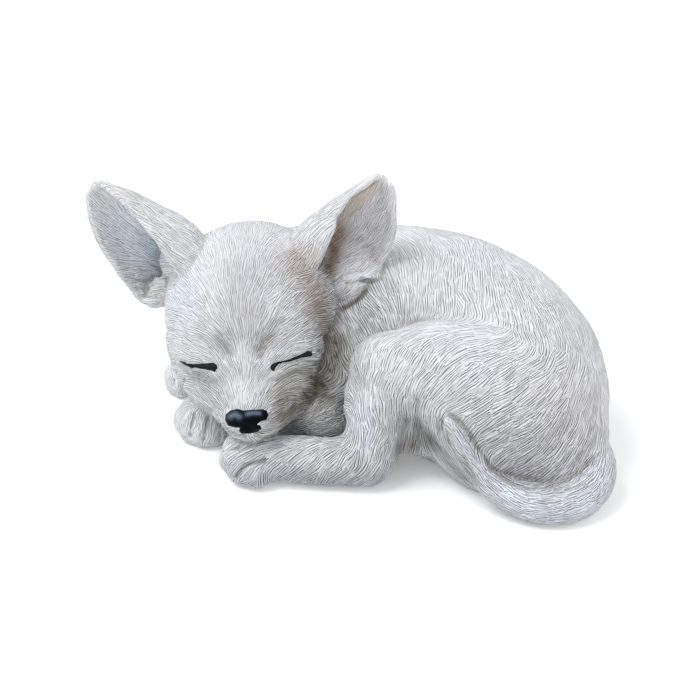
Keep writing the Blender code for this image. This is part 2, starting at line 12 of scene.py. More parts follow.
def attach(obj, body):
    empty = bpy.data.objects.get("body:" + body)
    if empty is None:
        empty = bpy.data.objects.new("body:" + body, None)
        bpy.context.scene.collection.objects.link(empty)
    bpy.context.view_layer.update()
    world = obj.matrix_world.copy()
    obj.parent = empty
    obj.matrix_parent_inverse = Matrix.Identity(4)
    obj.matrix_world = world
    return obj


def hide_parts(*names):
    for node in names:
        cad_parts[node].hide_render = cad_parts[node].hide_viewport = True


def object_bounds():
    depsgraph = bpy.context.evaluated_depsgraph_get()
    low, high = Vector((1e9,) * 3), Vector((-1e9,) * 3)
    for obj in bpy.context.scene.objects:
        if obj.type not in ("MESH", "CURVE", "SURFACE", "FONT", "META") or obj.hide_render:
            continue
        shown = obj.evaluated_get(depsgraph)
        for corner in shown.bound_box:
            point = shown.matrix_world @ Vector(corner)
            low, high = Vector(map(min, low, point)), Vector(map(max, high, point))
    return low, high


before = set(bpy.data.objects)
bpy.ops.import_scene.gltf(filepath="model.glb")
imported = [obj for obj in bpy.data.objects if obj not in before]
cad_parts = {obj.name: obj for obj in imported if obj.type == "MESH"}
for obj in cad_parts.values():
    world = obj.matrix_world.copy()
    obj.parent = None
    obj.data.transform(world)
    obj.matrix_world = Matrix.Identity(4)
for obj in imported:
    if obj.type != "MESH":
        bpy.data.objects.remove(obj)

CAD_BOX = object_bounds()

# The tables of strokes, moves, washes and painted light give lengths on the figure in millimetres, and places of
# the camera's picture in its pixels. All other lengths are in metres.
MM_IN_METRE = 1000

# Camera, for a square picture
VIEW_SIZE = 700
AIM = Vector((0.0007, 0.0018, 0.05))
DISTANCE = 0.85
ELEVATION = math.radians(30)
LENS = 82.6
SENSOR = 36.0

# Skin: its grain, the filler in its joints, how far the plate and its stopper are lifted into the body, and how
# near vertices are to be merged; then a distance that is beyond everything
SKIN_GRAIN = 0.0008
JOINT_FILL = 0.00025
PLATE_LIFT = 0.0015
WELD = 1e-7
FAR_OFF = 9.0
CASTINGS = ("body_casting", "head_casting", "left_ear", "right_ear", "near_hind_leg", "near_forepaw",
            "far_forepaw", "tail")


# Combing of the coat. Each stroke runs the way the hair lies, between two places of the camera's picture, and
# has the depth of its carving. Strokes on the far side are given by a place on the figure and a direction.
FRONT_COMB = {
    "head": (
        (243, 398, 243, 380, 0.5), (243, 362, 243, 345, 0.6), (244, 330, 244, 312, 0.6), (245, 298, 245, 280, 0.5),
        (246, 262, 247, 245, 0.4), (247, 236, 248, 226, 0.3), (228, 346, 214, 332, 0.9), (226, 318, 219, 300, 0.6),
        (222, 286, 218, 268, 0.5), (224, 256, 222, 240, 0.4), (205, 338, 188, 330, 0.9), (200, 318, 185, 306, 0.7),
        (196, 296, 184, 282, 0.6), (198, 272, 190, 258, 0.5), (178, 330, 166, 325, 0.8), (172, 305, 163, 298, 0.7),
        (205, 350, 190, 345, 0.8), (182, 350, 172, 346, 0.7), (210, 386, 196, 379, 1.2), (192, 376, 182, 372, 1.0),
        (226, 372, 218, 360, 0.8), (234, 400, 228, 384, 0.7), (220, 404, 210, 392, 1.3), (206, 398, 198, 390, 1.3),
        (214, 420, 206, 408, 1.3), (228, 430, 219, 424, 1.3), (256, 350, 262, 336, 1.0), (262, 326, 272, 308, 0.8),
        (262, 298, 272, 280, 0.7), (264, 268, 272, 254, 0.6), (272, 248, 282, 238, 0.5), (276, 340, 290, 328, 1.0),
        (284, 318, 298, 303, 1.0), (284, 290, 298, 278, 1.0), (288, 268, 302, 258, 0.9), (300, 290, 318, 281, 1.1),
        (304, 310, 322, 302, 1.1), (298, 328, 314, 318, 1.1), (322, 296, 336, 291, 1.2), (324, 314, 339, 309, 1.2),
        (318, 332, 334, 328, 1.7), (292, 345, 306, 338, 0.9), (310, 345, 324, 340, 1.5), (326, 340, 338, 342, 1.9),
        (314, 358, 326, 354, 1.9), (322, 366, 332, 374, 2.0), (308, 372, 322, 372, 1.8), (312, 386, 322, 394, 1.8),
        (290, 380, 304, 376, 1.4), (294, 392, 308, 394, 1.6), (272, 378, 284, 372, 0.8), (262, 362, 268, 350, 0.9),
        (256, 392, 262, 376, 0.7), (264, 402, 276, 390, 1.2), (276, 406, 290, 400, 1.4), (276, 422, 288, 412, 1.4),
        (262, 428, 272, 424, 1.2), (288, 412, 300, 404, 1.5), (240, 436, 236, 437, 0.8),
    ),
    "ears": (
        (200, 240, 180, 226, 0.7), (176, 224, 155, 208, 0.7), (150, 204, 128, 192, 0.6), (122, 189, 105, 182, 0.5),
        (188, 248, 172, 236, 0.7), (100, 190, 108, 198, 0.4), (104, 205, 118, 216, 0.5), (96, 220, 108, 228, 0.5),
        (104, 240, 120, 246, 0.6), (118, 222, 134, 234, 0.5), (112, 258, 130, 260, 0.6), (134, 246, 152, 256, 0.6),
        (124, 272, 142, 270, 0.7), (150, 264, 165, 270, 0.6), (132, 286, 146, 284, 0.7), (150, 290, 160, 288, 0.7),
        (296, 238, 310, 224, 0.7), (312, 220, 330, 206, 0.7), (332, 202, 350, 190, 0.6), (354, 188, 372, 178, 0.5),
        (302, 250, 312, 236, 0.7), (308, 262, 314, 250, 0.7), (376, 196, 383, 184, 0.5), (362, 208, 372, 194, 0.5),
        (374, 212, 384, 198, 0.6), (350, 224, 360, 210, 0.5), (362, 228, 374, 212, 0.6), (378, 228, 388, 214, 0.6),
        (340, 240, 350, 226, 0.5), (350, 246, 364, 232, 0.6), (368, 246, 382, 232, 0.6), (330, 256, 342, 246, 0.5),
        (344, 264, 360, 252, 0.6), (364, 264, 380, 250, 0.6), (326, 268, 338, 262, 0.5), (340, 276, 360, 270, 0.5),
        (346, 296, 360, 286, 0.7), (384, 240, 390, 226, 0.6), (388, 206, 390, 194, 0.5),
    ),
    "body": (
        (400, 232, 412, 240, 0.5), (430, 230, 438, 246, 0.5), (470, 238, 476, 256, 0.6), (505, 252, 512, 268, 0.6),
        (540, 274, 550, 290, 0.6), (572, 306, 580, 324, 0.7), (594, 344, 599, 364, 0.8), (606, 392, 610, 412, 0.8),
        (402, 262, 406, 282, 0.6), (430, 262, 428, 284, 0.65), (456, 266, 456, 290, 0.75), (486, 262, 490, 290, 0.8),
        (514, 276, 522, 300, 0.8), (540, 300, 552, 322, 0.9), (430, 294, 430, 312, 0.9), (466, 300, 468, 316, 0.75),
        (500, 306, 504, 324, 0.8), (530, 330, 536, 348, 0.9), (372, 296, 384, 316, 1.1), (386, 280, 394, 302, 1.0),
        (352, 318, 366, 336, 1.1), (346, 344, 358, 362, 1.2), (350, 372, 356, 388, 1.2), (364, 306, 378, 326, 1.1),
        (344, 398, 350, 410, 1.1), (396, 300, 398, 320, 0.9),
        (500, 332, 470, 330, 0.7), (452, 326, 424, 330, 0.7), (412, 330, 394, 340, 0.8), (388, 350, 380, 368, 0.8),
        (530, 348, 508, 358, 0.9), (492, 346, 468, 356, 1.0), (456, 344, 436, 358, 1.0), (424, 350, 410, 370, 1.0),
        (560, 360, 540, 382, 1.0), (526, 372, 500, 392, 1.2), (490, 372, 464, 390, 1.2), (452, 374, 434, 396, 1.1),
        (414, 384, 404, 408, 1.1), (396, 374, 388, 396, 0.9), (578, 384, 566, 410, 1.0), (556, 400, 534, 424, 1.2),
        (524, 408, 498, 424, 1.5), (494, 404, 466, 418, 1.5), (462, 404, 446, 412, 1.1), (590, 410, 584, 430, 1.0),
        (566, 428, 548, 448, 1.5), (536, 436, 510, 452, 1.6), (504, 436, 480, 446, 1.6), (556, 458, 536, 474, 1.4),
        (516, 462, 500, 470, 1.5), (580, 440, 570, 456, 1.3), (436, 412, 434, 436, 1.0), (446, 430, 452, 448, 1.0),
        (470, 456, 480, 470, 1.0), (440, 446, 448, 456, 1.0), (424, 440, 424, 452, 1.0),
        (384, 392, 392, 414, 1.0), (372, 404, 378, 430, 1.1), (398, 412, 396, 434, 1.2), (388, 440, 380, 462, 1.3),
        (370, 444, 366, 466, 1.0), (380, 470, 370, 482, 1.0), (364, 380, 364, 400, 0.9),
        (352, 436, 330, 434, 1.0), (322, 438, 300, 440, 1.0), (290, 442, 266, 446, 1.0), (350, 456, 338, 474, 1.3),
        (328, 454, 314, 470, 1.3), (304, 456, 290, 474, 1.3), (280, 458, 264, 476, 1.2), (258, 452, 246, 460, 0.9),
        (246, 452, 230, 463, 0.8), (238, 445, 225, 454, 0.7), (260, 466, 248, 484, 1.0), (248, 467, 240, 480, 0.9),
        (276, 470, 266, 485, 1.1), (352, 474, 340, 482, 1.3), (306, 474, 294, 482, 1.3),
        (340, 404, 322, 412, 1.2), (330, 420, 308, 426, 1.2), (306, 404, 292, 414, 1.1),
    ),
    "tail": (
        (612, 452, 610, 474, 1.2), (606, 486, 592, 504, 1.2), (580, 508, 556, 516, 1.2), (544, 512, 522, 508, 1.2),
        (512, 500, 494, 488, 1.2), (486, 478, 472, 460, 1.2), (466, 448, 456, 434, 1.1), (452, 426, 444, 418, 1.0),
        (600, 462, 584, 480, 1.2), (570, 490, 548, 496, 1.2), (490, 470, 480, 454, 1.2), (476, 444, 466, 430, 1.1),
    ),
    "near_forepaw": (
        (208, 394, 198, 404, 0.8), (196, 398, 186, 410, 0.7), (186, 412, 180, 424, 0.6), (204, 412, 198, 428, 0.7),
        (216, 424, 214, 436, 0.7), (190, 428, 192, 436, 0.6), (340, 402, 324, 408, 1.5), (316, 398, 302, 412, 1.5),
        (336, 418, 316, 424, 1.5), (306, 420, 294, 426, 1.4),
    ),
    "far_forepaw": (
        (172, 362, 174, 374, 0.6), (178, 372, 182, 386, 0.6), (168, 368, 170, 378, 0.5),
    ),
}
BACK_COMB = {
    "head": (
        (-50, 50, 105, 0.1, 0.9, -0.3, 0.7), (-50, 58, 85, 0.1, 0.6, -0.8, 0.9),
        (-85, 45, 85, -0.2, 0.8, -0.5, 0.9), (-15, 45, 90, 0.5, 0.8, -0.4, 0.9),
        (-96, 20, 60, -0.1, 0.9, -0.4, 0.9), (-92, 0, 40, 0.1, 0.8, -0.6, 0.9),
        (-5, 20, 70, 0.4, 0.8, -0.4, 1.1),
    ),
    "ears": (
        (5, 30, 118, 0.6, 0.2, 0.75, 0.8), (20, 30, 138, 0.6, 0.1, 0.75, 0.7),
        (-12, 28, 100, 0.5, 0.2, 0.8, 0.9), (-105, 30, 115, -0.65, 0.1, 0.72, 0.8),
        (-125, 30, 135, -0.65, 0.1, 0.72, 0.7), (-95, 30, 95, -0.5, 0.2, 0.8, 0.9),
    ),
    "body": (
        (-60, 75, 80, 0.9, 0.3, -0.3, 0.9), (-30, 85, 75, 0.9, 0.1, -0.4, 0.9),
        (5, 85, 75, 0.85, 0.0, -0.5, 0.9), (45, 75, 75, 0.8, -0.2, -0.6, 0.9),
        (80, 60, 70, 0.6, -0.4, -0.7, 0.9), (105, 35, 65, 0.4, -0.5, -0.75, 0.9),
        (125, 10, 45, 0.1, -0.6, -0.8, 0.9), (130, -20, 35, 0.0, -0.7, -0.7, 0.9),
        (-85, 55, 50, 0.7, 0.5, -0.5, 0.9), (-60, 82, 40, 0.8, 0.2, -0.6, 0.9),
        (-20, 90, 35, 0.7, 0.0, -0.7, 0.9), (30, 86, 35, 0.65, -0.1, -0.75, 0.9),
        (80, 65, 35, 0.5, -0.3, -0.8, 0.9), (120, 30, 30, 0.2, -0.5, -0.85, 0.9),
        (-30, 60, 100, 1.0, 0.0, 0.0, 0.7), (10, 50, 102, 1.0, -0.1, -0.1, 0.7),
        (50, 35, 102, 0.9, -0.3, -0.1, 0.7), (85, 15, 95, 0.7, -0.6, -0.3, 0.7),
        (110, -10, 75, 0.4, -0.6, -0.6, 0.8),
    ),
    "tail": (
        (130, -60, 20, -0.1, -0.9, -0.3, 0.8), (118, -83, 12, -0.8, -0.5, -0.1, 0.8),
    ),
    "near_forepaw": (
        (-70, 10, 20, -0.9, -0.2, -0.1, 0.7),
    ),
    "far_forepaw": (
        (-80, 50, 18, -0.9, -0.1, -0.2, 0.6), (-98, 50, 12, -0.9, -0.2, -0.3, 0.6),
    ),
}
COMB_GROUP = {"body_casting": "body", "near_hind_leg": "body", "head_casting": "head", "left_ear": "ears",
              "right_ear": "ears", "tail": "tail", "near_forepaw": "near_forepaw", "far_forepaw": "far_forepaw"}


def select_only(*chosen):
    """Selects these objects alone, and makes the first one active."""
    bpy.ops.object.select_all(action="DESELECT")
    for made in chosen:
        made.select_set(True)
    if chosen:
        bpy.context.view_layer.objects.active = chosen[0]


def placed(name, data):
    """A new object in the scene."""
    made = bpy.data.objects.new(name, data)
    bpy.context.scene.collection.objects.link(made)
    return made


@contextmanager
def editing(data):
    """A mesh open for editing, which is put back at the end."""
    mesh = bmesh.new()
    mesh.from_mesh(data)
    yield mesh
    mesh.to_mesh(data)
    mesh.free()


def worked(made, *steps):
    """Applies modifiers to an object, one after another."""
    select_only(made)
    for kind, settings in steps:
        step = made.modifiers.new(kind.lower(), kind)
        for key, value in settings.items():
            setattr(step, key, value)
        bpy.ops.object.modifier_apply(modifier=step.name)


def listed(rows, field, kind=np.float32, width=1):
    """One field of a mesh's vertices, edges, corners or faces, as a flat array."""
    values = np.empty(len(rows) * width, kind)
    rows.foreach_get(field, values)
    return values


def coords(made):
    return listed(made.data.vertices, "co", width=3).reshape(-1, 3).astype(np.float64)


def normals(made):
    return listed(made.data.vertex_normals, "vector", width=3).reshape(-1, 3).astype(np.float64)


def put_coords(made, spots):
    made.data.vertices.foreach_set("co", spots.astype(np.float32).ravel())
    made.data.update()


def kept_on(made, name, kind, domain, values):
    """Keeps values on a mesh as a named attribute."""
    kept = made.data.attributes.new(name, kind, domain)
    kept.data.foreach_set("value" if kind == "FLOAT" else "vector", values.astype(np.float32).ravel())


def eye_place():
    return AIM + Vector((0, -math.cos(ELEVATION), math.sin(ELEVATION))) * DISTANCE


def view_ray(u, v):
    """The direction from the camera through a place of the picture."""
    ahead = (AIM - eye_place()).normalized()
    side = Vector((1, 0, 0))
    up = side.cross(ahead)
    scale = SENSOR / LENS / VIEW_SIZE
    return (ahead + side * (u - VIEW_SIZE / 2) * scale + up * (VIEW_SIZE / 2 - v) * scale).normalized()


def copied(name, lift=0.0):
    """A merged copy of a CAD node, lifted if asked."""
    made = placed(name + "_copy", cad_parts[name].data.copy())
    with editing(made.data) as mesh:
        bmesh.ops.remove_doubles(mesh, verts=mesh.verts, dist=WELD)
        bmesh.ops.translate(mesh, verts=mesh.verts, vec=(0, 0, lift))
    return made


# The foot of the left ear's cup, filled down to its fold: rows of places of the picture, with the distance from
# the camera in metres
EAR_FLOOR = (
    ((312, 230, 0.8455), (326, 232, 0.8450), (339, 232, 0.8450), (355, 232, 0.8445), (376, 240, 0.8420)),
    ((308, 246, 0.8415), (321, 248, 0.8410), (335, 249, 0.8415), (352, 251, 0.8410), (378, 256, 0.8400)),
    ((304, 260, 0.8370), (318, 261, 0.8350), (333, 262, 0.8365), (350, 264, 0.8370), (380, 267, 0.8375)),
    ((304, 270, 0.8350), (317, 270, 0.8330), (331, 271, 0.8345), (348, 272, 0.8345), (381, 274, 0.8355)),
    ((308, 279, 0.8350), (321, 279, 0.8340), (333, 279, 0.8340), (347, 277, 0.8335), (381, 277, 0.8350)),
)
EAR_FLOOR_WALL = 0.003
EAR_FLOOR_LEVELS = 3


def sheet(rows, wall):
    """A smooth sheet through rows of places, with its wall behind it as the camera sees it."""
    made = placed("sheet", bpy.data.meshes.new("sheet"))
    with editing(made.data) as mesh:
        grid = [[mesh.verts.new(eye_place() + view_ray(u, v) * away) for u, v, away in row] for row in rows]
        for upper, lower in zip(grid, grid[1:]):
            for step in range(len(upper) - 1):
                mesh.faces.new((upper[step], lower[step], lower[step + 1], upper[step + 1]))
    worked(made, ("SOLIDIFY", {"thickness": wall, "offset": -1}),
           ("SUBSURF", {"levels": EAR_FLOOR_LEVELS, "render_levels": EAR_FLOOR_LEVELS}))
    made.data.shade_smooth()
    return made


def fused_skin():
    """All the castings as one closed skin, the way the figure left its mould."""
    copies = [sheet(EAR_FLOOR, EAR_FLOOR_WALL)]
    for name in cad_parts:
        copies.append(copied(name, PLATE_LIFT if name in ("base_plate", "filler_stopper") else 0.0))
    select_only(*copies)
    bpy.ops.object.join()
    skin = copies[0]
    skin.name = "skin"
    worked(skin, ("DISPLACE", {"strength": JOINT_FILL, "mid_level": 0}),
           ("REMESH", {"mode": "VOXEL", "voxel_size": SKIN_GRAIN}))
    return skin


# Easing: the steps between no smoothing and full, and how far one round goes
EASE_LEVELS = 20
EASE_FACTOR = 0.5


def eased(skin, weights, rounds):
    """Smooths the skin, more where a weight is high."""
    group = skin.vertex_groups.new(name="ease")
    levels = np.round(np.clip(weights, 0, 1) * EASE_LEVELS).astype(int)
    for level in range(1, EASE_LEVELS + 1):
        chosen = np.nonzero(levels == level)[0].tolist()
        if chosen:
            group.add(chosen, level / EASE_LEVELS, "REPLACE")
    worked(skin, ("SMOOTH", {"factor": EASE_FACTOR, "iterations": rounds, "vertex_group": "ease"}))
    skin.vertex_groups.clear()


class Net:
    """The skin's edges, for spreading values from each vertex to its neighbours."""

    def __init__(self, made):
        pairs = listed(made.data.edges, "vertices", np.int32, 2)
        self.first, self.second = pairs[0::2], pairs[1::2]
        self.count = len(made.data.vertices)
        self.degree = np.maximum(np.bincount(pairs, minlength=self.count), 1)

    def spread(self, values, rounds):
        for _ in range(rounds):
            total = np.bincount(self.first, values[self.second], self.count)
            total += np.bincount(self.second, values[self.first], self.count)
            values = total / self.degree
        return values


def casting_of(spots):
    """The number of the casting nearest to each place."""
    corners, faces, owners = [], [], []
    for number, name in enumerate(CASTINGS):
        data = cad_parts[name].data
        start = len(corners)
        corners += [vertex.co.copy() for vertex in data.vertices]
        faces += [[start + corner for corner in face.vertices] for face in data.polygons]
        owners += [number] * len(data.polygons)
    tree = BVHTree.FromPolygons(corners, faces)
    return np.array([owners[tree.find_nearest(spot)[2]] for spot in spots.tolist()])


# Rounds of spreading that make the ragged borders between castings even
SETTLING = 8


def settled_castings(owner, net):
    """The castings' numbers again, each taken from what its neighbours have."""
    shares = [net.spread((owner == number).astype(float), SETTLING) for number in range(len(CASTINGS))]
    return np.argmax(shares, axis=0)


def border(owner, net, first, second, width):
    """1 within a number of edges from the border of two castings, 0 elsewhere."""
    a, b = CASTINGS.index(first), CASTINGS.index(second)
    pair = (owner[net.first] == a) & (owner[net.second] == b)
    pair |= (owner[net.first] == b) & (owner[net.second] == a)
    mark = np.zeros(net.count)
    mark[net.first[pair]] = 1
    mark[net.second[pair]] = 1
    for _ in range(width):
        grown = mark.copy()
        np.maximum.at(grown, net.first, mark[net.second])
        np.maximum.at(grown, net.second, mark[net.first])
        mark = grown
    return mark


def seen(skin, u, v):
    """The place and normal of the skin at a place of the camera's picture."""
    start, ray = eye_place(), view_ray(u, v)
    hit, spot, normal, _ = skin.ray_cast(start, ray)
    if not hit:
        _, spot, normal, _ = skin.closest_point_on_mesh(start + ray * (AIM - start).dot(ray))
    return np.array(spot), np.array(normal)


def unit(rows):
    return rows / np.maximum(np.linalg.norm(rows, axis=-1, keepdims=True), 1e-12)


def comb_strokes(skin, group):
    """Place, normal, direction and depth of each combing stroke of a group."""
    rows = []
    for u1, v1, u2, v2, depth in FRONT_COMB[group]:
        first, _ = seen(skin, u1, v1)
        last, _ = seen(skin, u2, v2)
        middle, normal = seen(skin, (u1 + u2) / 2, (v1 + v2) / 2)
        rows.append((*middle, *normal, *unit(last - first), depth))
    for x, y, z, dx, dy, dz, depth in BACK_COMB[group]:
        _, spot, normal, _ = skin.closest_point_on_mesh((x / MM_IN_METRE, y / MM_IN_METRE, z / MM_IN_METRE))
        rows.append((*spot, *normal, *unit(np.array((dx, dy, dz))), depth))
    return np.array(rows)


# How far away a turn of the skin counts, from a stroke and between patches; how wide a stroke's own place is
TURN_REACH = 0.009
SEED_TURN = 0.007
STROKE_CORE = 0.002
# Patches of combed hair: how many places are tried as middles, the unit of the flat maps, how far a patch's hair
# leans aside, what holds the terms of a map small, and how many vertices are handled at a time
SEED_TRIES = 9000
PATCH_UNIT = 0.01
PATCH_LEAN = 0.12
MAP_HOLD = (0.0004,) * 3 + (0.006,) * 6
AT_A_TIME = 20000
# The distance between patches, and the size of the hair on them
PATCH = {"head": 0.0080, "body": 0.0090, "ears": 0.0065, "tail": 0.0055, "near_forepaw": 0.0050,
         "far_forepaw": 0.0050}
HAIR_SIZE = {"head": 0.74, "body": 0.86, "ears": 0.78, "tail": 0.80, "near_forepaw": 0.80, "far_forepaw": 0.80}


def combed(strokes, spots, faces_to):
    """The direction and depth of the hair at each vertex, from the strokes near it that face its way."""
    way = np.zeros_like(spots)
    depth = np.zeros(len(spots))
    total = np.zeros(len(spots))
    for stroke in strokes:
        apart = ((spots - stroke[0:3]) ** 2).sum(1) + TURN_REACH ** 2 * ((faces_to - stroke[3:6]) ** 2).sum(1)
        pull = 1 / (apart + STROKE_CORE ** 2) ** 2
        way += pull[:, None] * stroke[6:9]
        depth += pull * stroke[9]
        total += pull
    way -= (way * faces_to).sum(1)[:, None] * faces_to
    return unit(way), depth / total


def seeds(points, reach, order):
    """Points at least a reach apart, taken in the given order."""
    chosen = []
    taken = np.empty((0, points.shape[1]))
    for index in order:
        point = points[index]
        if len(taken) == 0 or ((taken - point) ** 2).sum(1).min() > reach ** 2:
            chosen.append(index)
            taken = points[chosen]
    return np.array(chosen)


def nearest_two(points, centres):
    """For each point the nearest centre, and how much farther the next one is."""
    near = np.empty(len(points), np.int64)
    margin = np.empty(len(points))
    spots = points.astype(np.float32)
    middles = centres.astype(np.float32)
    for start in range(0, len(points), AT_A_TIME):
        part = spots[start:start + AT_A_TIME]
        apart = (part ** 2).sum(1)[:, None] + (middles ** 2).sum(1) - 2 * part @ middles.T
        first = apart.argmin(1)
        rows = np.arange(len(part))
        best = np.sqrt(np.maximum(apart[rows, first], 0))
        apart[rows, first] = FAR_OFF
        margin[start:start + AT_A_TIME] = np.sqrt(apart.min(1)) - best
        near[start:start + AT_A_TIME] = first
    return near, margin


def slopes(d, x):
    """How fast each term of a patch's map grows along a direction d at a place x."""
    return np.stack((
        d[:, 0], d[:, 1], d[:, 2], d[:, 0] * x[:, 0], d[:, 1] * x[:, 1], d[:, 2] * x[:, 2],
        d[:, 0] * x[:, 1] + d[:, 1] * x[:, 0], d[:, 1] * x[:, 2] + d[:, 2] * x[:, 1],
        d[:, 0] * x[:, 2] + d[:, 2] * x[:, 0]), 1)


def terms(x):
    return np.stack((
        x[:, 0], x[:, 1], x[:, 2], x[:, 0] ** 2 / 2, x[:, 1] ** 2 / 2, x[:, 2] ** 2 / 2,
        x[:, 0] * x[:, 1], x[:, 1] * x[:, 2], x[:, 0] * x[:, 2]), 1)


def patch_maps(spots, faces_to, way, near, count, size, chance):
    """Each patch's middle, and the map that says how far across and along the hair a place near it lies."""
    across = np.cross(faces_to, way)
    middles = np.zeros((count, 3))
    fits = np.zeros((count, 9, 2))
    order = np.argsort(near, kind="stable")
    bounds = np.searchsorted(near[order], np.arange(count + 1))
    for patch in range(count):
        members = order[bounds[patch]:bounds[patch + 1]]
        lean = chance.normal(0, PATCH_LEAN)
        if len(members) == 0:
            continue
        middles[patch] = spots[members].mean(0)
        x = (spots[members] - middles[patch]) / PATCH_UNIT
        along_way = way[members] * math.cos(lean) + across[members] * math.sin(lean)
        across_way = across[members] * math.cos(lean) - way[members] * math.sin(lean)
        rows = np.concatenate((slopes(across_way, x), slopes(along_way, x)))
        one, none = np.ones(len(members)), np.zeros(len(members))
        wanted = np.stack((np.concatenate((one, none)), np.concatenate((none, one))), 1) / size
        hold = np.diag(MAP_HOLD) * len(members)
        fits[patch] = np.linalg.solve(rows.T @ rows + hold, rows.T @ wanted)
    return middles, fits, chance.uniform(0, 1, (count, 2))


def mapped(spots, patch, middles, fits, shifts):
    """The place of each spot on the flat map of its patch."""
    x = (spots - middles[patch]) / PATCH_UNIT
    return np.einsum("ij,ijk->ik", terms(x), fits[patch]) * PATCH_UNIT + shifts[patch]


# Numbers that scatter the heights of the lumps
LUMP_SCATTER = (127.1, 311.7, 74.7)
LUMP_SPREAD = 43758.5453


def lumps(x, y, key):
    """Smooth lumps of unit size on a flat map, from -1 to 1."""
    column, row = np.floor(x), np.floor(y)
    fx, fy = x - column, y - row
    fx, fy = fx * fx * (3 - 2 * fx), fy * fy * (3 - 2 * fy)

    def level(i, j):
        height = np.sin(i * LUMP_SCATTER[0] + j * LUMP_SCATTER[1] + key * LUMP_SCATTER[2]) * LUMP_SPREAD
        return (height - np.floor(height)) * 2 - 1

    low = level(column, row) * (1 - fx) + level(column + 1, row) * fx
    high = level(column, row + 1) * (1 - fx) + level(column + 1, row + 1) * fx
    return low * (1 - fy) + high * fy


def along_line(spots, path):
    """Distance of each place from a line through the path's points."""
    best = np.full(len(spots), FAR_OFF)
    for first, last in zip(path, path[1:]):
        run = last - first
        share = np.clip(((spots - first) @ run) / (run @ run), 0, 1)
        best = np.minimum(best, np.linalg.norm(spots - first - share[:, None] * run, axis=1))
    return best


def away_from(skin, spots, places):
    """Distance of each place from a point of the skin, or a line on it, given in the camera's picture."""
    path = [seen(skin, u, v)[0] for u, v in places]
    if len(path) == 1:
        return np.linalg.norm(spots - path[0], axis=1)
    return along_line(spots, path)


def touched(skin, spots, places, reach):
    """1 on a line through places of the camera's picture, fading within a reach in millimetres."""
    return np.exp(-(away_from(skin, spots, places) / (reach / MM_IN_METRE)) ** 2)


# Edges that are drawn aside: places of the camera's picture, the reach, and the move across, away and up
GRABS = (
    # cheek, chin and shank
    (((186, 378), (196, 394), (207, 408), (217, 424)), 6, (2.6, 0, 0.4)),
    (((228, 436), (242, 442), (258, 440)), 4.2, (0, 0, 1.5)),
    (((350, 388), (347, 402), (344, 418), (338, 433)), 6.2, (3, 0, 1)),
    # ears
    (((360, 199), (345, 215), (335, 236)), 5, (-4, 0, 0)),
    (((392, 184), (394, 200), (393, 214)), 6, (-1.4, 0, 0)),
    (((330, 206), (350, 193), (370, 181)), 6, (-1, 0, 1)),
    (((130, 193), (160, 206), (192, 226)), 7, (0.4, 0, 1.8)),
    (((88, 200), (98, 232), (112, 260)), 7, (1.8, 0, 0)),
    (((140, 297), (153, 304)), 5, (-0.8, 0, -1.8)),
    # head, back and belly
    (((170, 308), (171, 330), (176, 350)), 9, (-2.2, 0, 0)),
    (((584, 325), (598, 362), (606, 400)), 13, (1.8, 0, 0.2)),
    (((430, 233), (480, 245), (530, 270)), 13, (0.2, 0, 1.1)),
    (((404, 444), (420, 447)), 5.5, (0, -1.5, -3.5)),
)
# Places that are rubbed smooth, and the reach: the foot of the left ear's cup, where the putty meets it
RUBBED = (
    (((326, 236), (342, 234), (356, 238), (366, 248), (372, 262)), 4.5),
    (((318, 262), (330, 262), (340, 262)), 3),
    (((369, 279), (366, 286)), 2.6),
)


